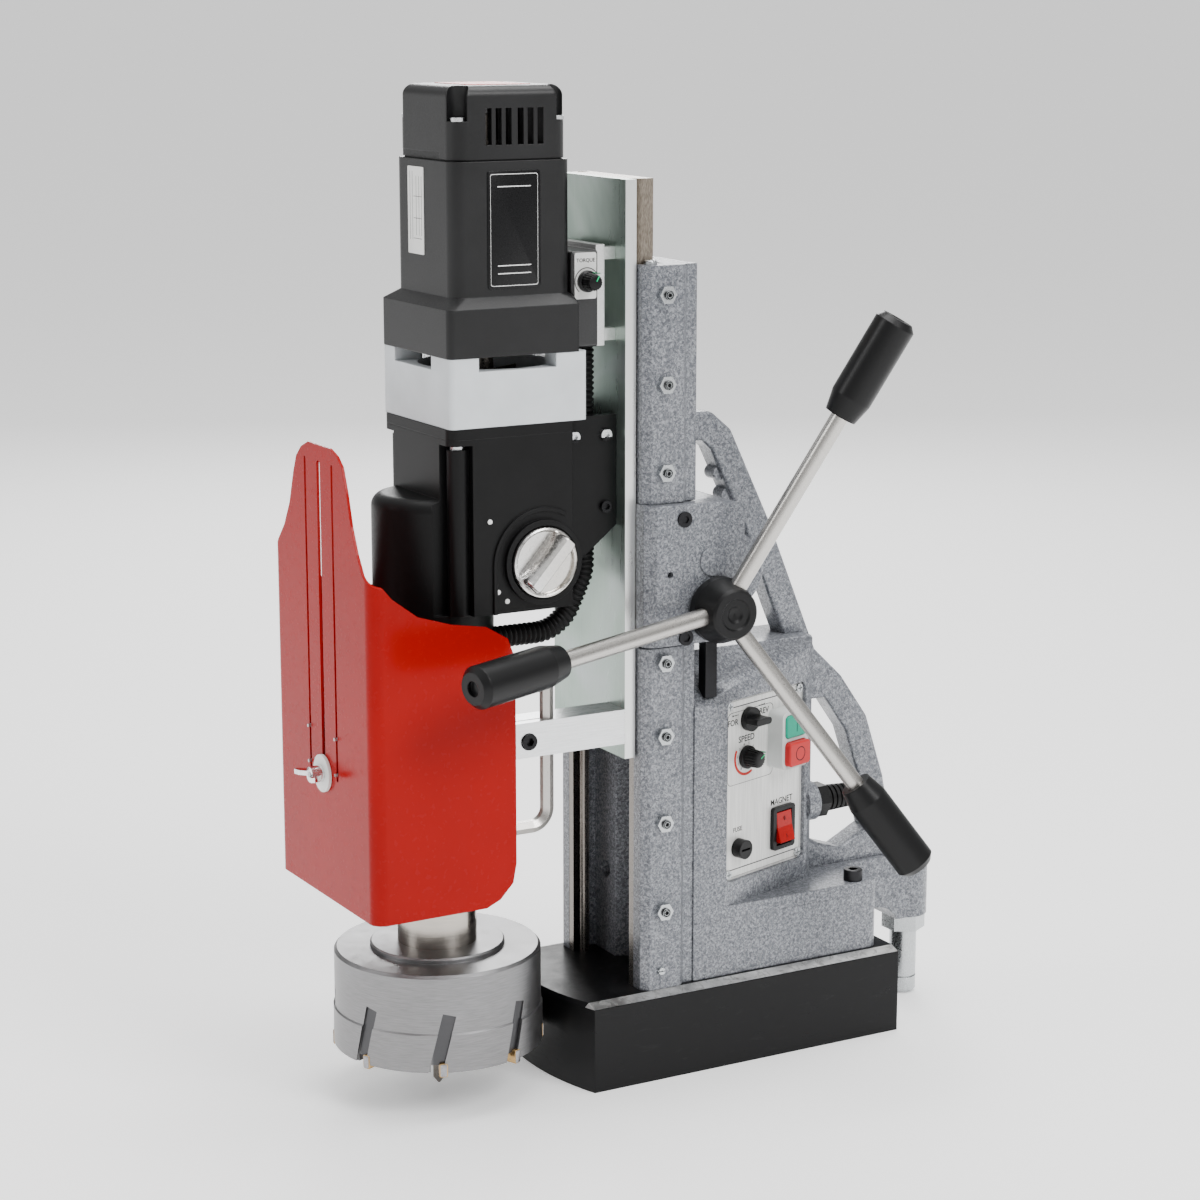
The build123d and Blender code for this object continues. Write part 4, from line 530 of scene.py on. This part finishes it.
def lettering(name, text, matrix, size, body, finish="ink"):
    """Flat printed text, 0.06 mm thick, turned into a mesh."""
    curve = bpy.data.curves.new(name, "FONT")
    curve.body = text
    curve.size = size * MM
    curve.extrude = 0.03 * MM
    curve.offset = 0.012 * size * MM
    curve.align_x = "CENTER"
    curve.align_y = "CENTER"
    curve.resolution_u = 3
    holder = bpy.data.objects.new(name + "_text", curve)
    bpy.context.scene.collection.objects.link(holder)
    bpy.context.view_layer.update()
    mesh = bpy.data.meshes.new_from_object(holder)
    bpy.data.objects.remove(holder)
    mesh.transform(matrix)
    mesh.materials.clear()
    mesh.materials.append(FINISH[finish])
    piece = bpy.data.objects.new(name, mesh)
    bpy.context.scene.collection.objects.link(piece)
    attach(piece, body)
    return piece


def softened(node, body, finish, radius, shortest=12.0):
    """Copy of a casting whose long convex edges are rounded, in mm, that stands for the node."""
    bm = bmesh.new()
    bm.from_mesh(NODES[node].data)
    bmesh.ops.remove_doubles(bm, verts=bm.verts, dist=0.00001)
    bmesh.ops.dissolve_limit(bm, angle_limit=radians(0.8), verts=bm.verts, edges=bm.edges)
    edges = [edge for edge in bm.edges
             if edge.is_manifold and edge.calc_face_angle() > radians(20)
             and edge.is_convex and edge.calc_length() > shortest * MM]
    bmesh.ops.bevel(bm, geom=edges, offset=radius * MM, segments=4, profile=0.5,
                    affect="EDGES", clamp_overlap=True)
    return build(node + "_soft", bm, body, finish, replace=(node,))


softened("housing_casting", "base", "hammertone", 3.5)
softened("carry_handle", "base", "hammertone", 3.0, 6.0)

# ---------------------------------------------------------------- control panel print
PANEL_ANGLE = radians(18)
PANEL_NORMAL = Vector((cos(PANEL_ANGLE), sin(PANEL_ANGLE), 0))
PANEL_ALONG = Vector((-sin(PANEL_ANGLE), cos(PANEL_ANGLE), 0))
PANEL_ORIGIN = Vector((54, -14.8, 0)) * MM


def on_panel(along, up, height=0.0):
    """Local frame on the control panel: x to the rear, y up, z out of the panel."""
    place = PANEL_ORIGIN + PANEL_ALONG * along * MM + PANEL_NORMAL * height * MM
    return basis(place + Vector((0, 0, up * MM)), PANEL_ALONG, PANEL_NORMAL)


START, STOP, ROCKER = (61.0, 231.5), (61.5, 212.0), (62.5, 155.5)
SPEED = (23.3, 214.0)
PRINT_HEIGHT = 0.05                  # lettering stands this far off the panel, in mm

bm = bmesh.new()
for low, high in ((251.2, 251.9), (135.0, 135.7)):
    plate(bm, on_panel(42, (low + high) / 2), rounded_outline(80, high - low, 0.3, 2), 0.0, 0.06)
frame_line(bm, on_panel(27.5, 222), rounded_outline(49, 52, 4), 0.35, 0.0, 0.05)
build("panel_lines", bm, "base", "ink", smooth=False)

for word, along, up, size in (("FOR", 8.5, 240.5, 6.0), ("REV", 42, 243.5, 6.0),
                              ("SPEED", 23.3, 227.2, 6.4), ("MAGNET", 62.5, 174.5, 6.0),
                              ("FUSE", 14.6, 163.5, 4.6)):
    lettering("panel_text_" + word.lower(), word, on_panel(along, up, PRINT_HEIGHT), size, "base")

bm = bmesh.new()
arc_band(bm, on_panel(*SPEED), 11.2, 13.2, 150, 300, 0.0, 0.06)
build("panel_speed_arc", bm, "base", "red_ink", smooth=False)
for k, digit in enumerate("0123456789"):
    angle = radians(235 - 290 * k / 9)
    spot = (SPEED[0] + 9.6 * cos(angle), SPEED[1] + 9.6 * sin(angle))
    lettering("speed_digit_" + digit, digit, on_panel(*spot, PRINT_HEIGHT), 2.6, "base")

bm = bmesh.new()
for spot in ((8.5, 245.5), (42, 248.2)):
    plate(bm, on_panel(*spot), rounded_outline(1.4, 1.4, 0.7, 4), 0.0, 0.06)
    plate(bm, on_panel(spot[0] + (3 if spot[0] < 20 else -3), spot[1]),
          rounded_outline(6, 0.4, 0.19, 2), 0.0, 0.06)
build("panel_direction_marks", bm, "base", "ink", smooth=False)

bm = bmesh.new()
frame_line(bm, on_panel(42, 193), rounded_outline(82, 126, 4), 0.25, 0.0, 0.05)
build("panel_border", bm, "base", "ink", smooth=False)

# symbols on the push buttons and the rocker
lettering("rocker_off", "0", on_panel(ROCKER[0], ROCKER[1] + 6.5, 3.15)
          @ Matrix.Rotation(radians(-6), 4, "X"), 4.2, "magnet_key")
lettering("rocker_on", "1", on_panel(ROCKER[0], ROCKER[1] - 6.0, 5.6)
          @ Matrix.Rotation(radians(-17), 4, "X"), 4.2, "magnet_key")
bm = bmesh.new()
plate(bm, on_panel(START[0], START[1], 14.5), rounded_outline(0.7, 8.5, 0.3, 3), 0.0, 0.05)
build("start_symbol", bm, "start_key", "ink", smooth=False)
bm = bmesh.new()
arc_band(bm, on_panel(STOP[0], STOP[1], 17.5), 4.4, 5.1, 0, 359.9, 0.0, 0.05, 40)
build("stop_symbol", bm, "stop_key", "ink", smooth=False)


# ---------------------------------------------------------------- knobs
def fluted(count, depth):
    def flute(angle, height):
        return 1 - depth * (0.5 + 0.5 * cos(count * angle)) ** 2
    return flute


def pot_knob(name, matrix, scale, body, node):
    """Tapered fluted control knob with a skirt and a green pointer."""
    bm = bmesh.new()
    turned(bm, matrix, [(7.4 * scale, 0.2), (7.5 * scale, 0.8), (7.4 * scale, 2.6),
                        (6.4 * scale, 3.2)], 72)
    turned(bm, matrix, [(6.1 * scale, 3.2), (6.0 * scale, 4.0), (5.5 * scale, 11.4),
                        (5.1 * scale, 12.2), (4.4 * scale, 12.4)], 144, fluted(18, 0.07))
    turned(bm, matrix, [(4.2 * scale, 12.3), (4.2 * scale, 12.45), (4.0 * scale, 12.5)], 48)
    knob = build(name, bm, body, "black_plastic", replace=(node,))
    bm = bmesh.new()
    tip = matrix @ Matrix.Translation((0, 3.2 * scale * MM, 0))
    plate(bm, tip, rounded_outline(0.9, 4.6 * scale, 0.4, 3), 12.5, 12.62)
    side = matrix @ Matrix.Rotation(radians(-4), 4, "X")
    plate(bm, side @ Matrix.Translation((0, 6.25 * scale * MM, 7.5 * MM))
          @ Matrix.Rotation(radians(-90), 4, "X"), rounded_outline(0.9, 9.5, 0.4, 3), -0.1, 0.25)
    build(name + "_pointer", bm, body, "green_mark")
    return knob


pot_knob("speed_knob_fluted", on_panel(*SPEED) @ Matrix.Rotation(radians(-60), 4, "Z"), 1.1,
         "speed_dial", "speed_knob")
torque_low, torque_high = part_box("torque_knob")
torque_seat = basis((0.041, (torque_low.y + torque_high.y) / 2, (torque_low.z + torque_high.z) / 2),
                    (0, 1, 0), (1, 0, 0))
pot_knob("torque_knob_fluted", torque_seat @ Matrix.Rotation(radians(-30), 4, "Z"), 0.95,
         "torque_dial", "torque_knob")

lettering("torque_text", "TORQUE", basis((0.0411, -0.1163, 0.5615), (0, 1, 0), (1, 0, 0)), 3.4,
          "slide")
bm = bmesh.new()
arc_band(bm, torque_seat, 8.4, 9.0, -50, 230, 0.0, 0.05)
build("torque_scale", bm, "slide", "ink", smooth=False)

# gear knob: shallow dish with a diagonal grip bar
KNOB = basis((0.0504, -0.154, 0.368), (0, 1, 0), (1, 0, 0))
bm = bmesh.new()
turned(bm, KNOB, [(23.5, 0.2), (23.5, 4.0), (23.0, 5.2), (22.0, 5.6), (21.0, 5.2), (20.4, 4.0),
                  (20.2, 2.6)], 96)
bar = KNOB @ Matrix.Rotation(radians(48), 4, "Z")
sections = []
for height, half, length in ((2.2, 8.6, 20.4), (6, 8.2, 20.6), (11, 6.0, 20.8), (15.4, 4.2, 20.4),
                             (16.4, 3.4, 19.6)):
    sections.append([bar @ Vector((x * MM, y * MM, height * MM))
                     for x, y in rounded_outline(2 * length, 2 * half, half * 0.5, 5)])
loft_rings(bm, sections)
build("gear_knob_cast", bm, "gear_lever", "knob_silver", replace=("gear_knob",))

bm = bmesh.new()
for y, z in GEAR_MARKS:
    turned(bm, basis((0.05, y * MM, z * MM), (0, 1, 0), (1, 0, 0)),
           [(1.7, -0.1), (1.6, 0.35), (1.0, 0.6), (0.4, 0.65)], 24)
build("gear_marks", bm, "slide", "paint_white")


# ---------------------------------------------------------------- corrugated conduit
def rounded_route(points, radius, step):
    """Points along straight runs joined by arcs of one radius."""
    route = [points[0]]
    for before, corner, after in zip(points, points[1:], points[2:]):
        into, out = (corner - before).normalized(), (after - corner).normalized()
        turn = into.angle(out)
        reach = radius * abs(sin(turn / 2) / cos(turn / 2))
        start, end = corner - into * reach, corner + out * reach
        side = (out - into * into.dot(out)).normalized()
        centre = start + side * radius
        count = max(3, int(radius * turn / step))
        for k in range(count + 1):
            a = turn * k / count
            route.append(centre - side * radius * cos(a) + into * radius * sin(a))
    route.append(points[-1])
    return route


def walk(route, step):
    """Evenly spaced points and directions along a route."""
    spots, carry = [], 0.0
    for a, b in zip(route, route[1:]):
        length = (b - a).length
        direction = (b - a).normalized()
        while carry < length:
            spots.append((a + direction * carry, direction))
            carry += step
        carry -= length
    spots.append((route[-1], (route[-1] - route[-2]).normalized()))
    return spots


conduit_low, conduit_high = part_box("conduit")
conduit_x = (conduit_low.x + conduit_high.x) / 2
CONDUIT = [Vector((conduit_x, y * MM, z * MM))
           for y, z in ((-108, 504.8), (-108, 352), (-126, 314), (-178.5, 314))]
bm = bmesh.new()
rings = []
for k, (spot, heading) in enumerate(walk(rounded_route(CONDUIT, 0.029, 0.002), 0.0009)):
    across = Vector((1, 0, 0))
    other = heading.cross(across).normalized()
    radius = (0.0074, 0.0075, 0.0067, 0.0062)[k % 4]
    rings.append([spot + (across * cos(a) + other * sin(a)) * radius
                  for a in [2 * pi * i / 28 for i in range(28)]])
loft_rings(bm, rings)
build("conduit_corrugated", bm, "slide", "rubber", replace=("conduit",))

# ---------------------------------------------------------------- motor labels
MOTOR_Y, CAP_TOP = -0.1696, 0.674
BODY_X, BODY_FRONT = 0.043, MOTOR_Y - 0.043
bm = bmesh.new()
badge = basis((BODY_X, MOTOR_Y, 0.5835), (0, 1, 0), (1, 0, 0))
plate(bm, badge, rounded_outline(38, 75, 2), -0.1, 0.6, 0.2)
build("motor_badge", bm, "slide", "badge", replace=("rating_plates",))
bm = bmesh.new()
frame_line(bm, badge, rounded_outline(34, 71, 1.5), 0.4, 0.6, 0.64)
for row in (-27.5, -22.5, 27.5):
    plate(bm, badge @ Matrix.Translation((0, row * MM, 0)),
          rounded_outline(24, 0.6, 0.25, 2), 0.6, 0.64)
build("motor_badge_lines", bm, "slide", "paint_white", smooth=False)
bm = bmesh.new()
label = basis((-0.0105, BODY_FRONT, 0.594), (1, 0, 0), (0, -1, 0))
plate(bm, label, rounded_outline(23, 56, 1), -0.1, 0.35, 0.1)
build("motor_label", bm, "slide", "label_white", replace=("rating_plates",))
bm = bmesh.new()
cap_top = basis((0, MOTOR_Y, CAP_TOP), (1, 0, 0), (0, 0, 1))
plate(bm, cap_top, rounded_outline(52, 44, 2), -0.1, 0.4, 0.1)
build("cap_label", bm, "slide", "red", replace=("rating_plates",))
bm = bmesh.new()
for column in (-8.0, -4.5, 1.0, 5.0, 8.6):
    plate(bm, label @ Matrix.Translation((column * MM, 3 * MM, 0)),
          rounded_outline(0.35, 44 if column < 0 else 38, 0.15, 2), 0.35, 0.4)
for row in (-18, -5, 9):
    plate(bm, label @ Matrix.Translation((3 * MM, row * MM, 0)),
          rounded_outline(12, 0.35, 0.15, 2), 0.35, 0.4)
build("motor_label_rules", bm, "slide", "ink", smooth=False)

# ---------------------------------------------------------------- gib set screws
bm = bmesh.new()
for z in GIB_SCREW_HEIGHTS:
    turned(bm, basis((GIB_SCREW_FACE, GIB_SCREW_Y, z * MM), (0, 1, 0), (1, 0, 0)),
           [(3.0, -0.2), (3.15, 0.0), (3.15, 1.5), (2.8, 1.8), (1.9, 1.8), (1.8, 0.4)], 24)
build("gib_set_screws", bm, "base", "black_screw")

# ---------------------------------------------------------------- cutter tips
tips, braze = bmesh.new(), bmesh.new()
for k in range(CUTTER_TEETH):
    turn = 2 * pi * (k + 0.5) / CUTTER_TEETH
    out = Vector((cos(turn), sin(turn), 0))
    across = Vector((-sin(turn), cos(turn), 0))
    place = Vector((0, -SPINDLE_AHEAD, TOOTH_Z)) + out * TOOTH_RADIUS
    seat = basis(place - across * 0.0012, across, out)
    plate(tips, seat, rounded_outline(4.4, 8.5, 0.8, 3), -3.5, 4.2, 0.3)
    plate(braze, seat, rounded_outline(5.6, 9.5, 1.2, 3), -3.4, 3.75, 0.2)
build("cutter_tips", tips, "spindle", "carbide")
build("cutter_braze", braze, "spindle", "bronze")


# ---------------------------------------------------------------- studio
def studio():
    bm = bmesh.new()
    bmesh.ops.create_grid(bm, x_segments=1, y_segments=1, size=FLOOR_HALF)
    mesh = bpy.data.meshes.new("floor")
    bm.to_mesh(mesh)
    bm.free()
    material, tree, shader = new_material("pale_floor", roughness=0.75)
    shader.inputs["Base Color"].default_value = (0.9, 0.9, 0.9, 1)
    shader.inputs["Emission Color"].default_value = (1, 1, 1, 1)
    shader.inputs["Emission Strength"].default_value = 0.35
    mesh.materials.append(material)
    floor = bpy.data.objects.new("floor", mesh)
    bpy.context.scene.collection.objects.link(floor)

    world = bpy.data.worlds.new("studio")
    world.use_nodes = True
    tree = world.node_tree
    place = tree.nodes.new("ShaderNodeTexCoord")
    split = tree.nodes.new("ShaderNodeSeparateXYZ")
    tree.links.new(place.outputs["Generated"], split.inputs["Vector"])
    sky = ramp(tree, split.outputs["Z"], (0.0, (0.95, 0.95, 0.95)), (0.05, (0.93, 0.93, 0.93)),
               (0.22, (0.32, 0.32, 0.32)), (0.8, (1.0, 1.0, 1.0)))
    tree.links.new(sky, tree.nodes["Background"].inputs["Color"])
    tree.nodes["Background"].inputs["Strength"].default_value = 1.0
    bpy.context.scene.world = world

    for name, place, size, power in LAMPS:
        data = bpy.data.lights.new(name, "AREA")
        data.size = size
        data.energy = power
        lamp = bpy.data.objects.new(name, data)
        lamp.location = place
        aim = LAMP_AIM - Vector(place)
        lamp.rotation_euler = aim.to_track_quat("-Z", "Y").to_euler()
        bpy.context.scene.collection.objects.link(lamp)

    camera_data = bpy.data.cameras.new("camera")
    camera_data.lens = CAMERA_LENS
    camera_data.sensor_width = 36
    camera = bpy.data.objects.new("camera", camera_data)
    camera.location = CAMERA_PLACE
    camera.rotation_euler = (radians(CAMERA_PITCH), 0, radians(CAMERA_TURN))
    bpy.context.scene.collection.objects.link(camera)
    bpy.context.scene.camera = camera


studio()
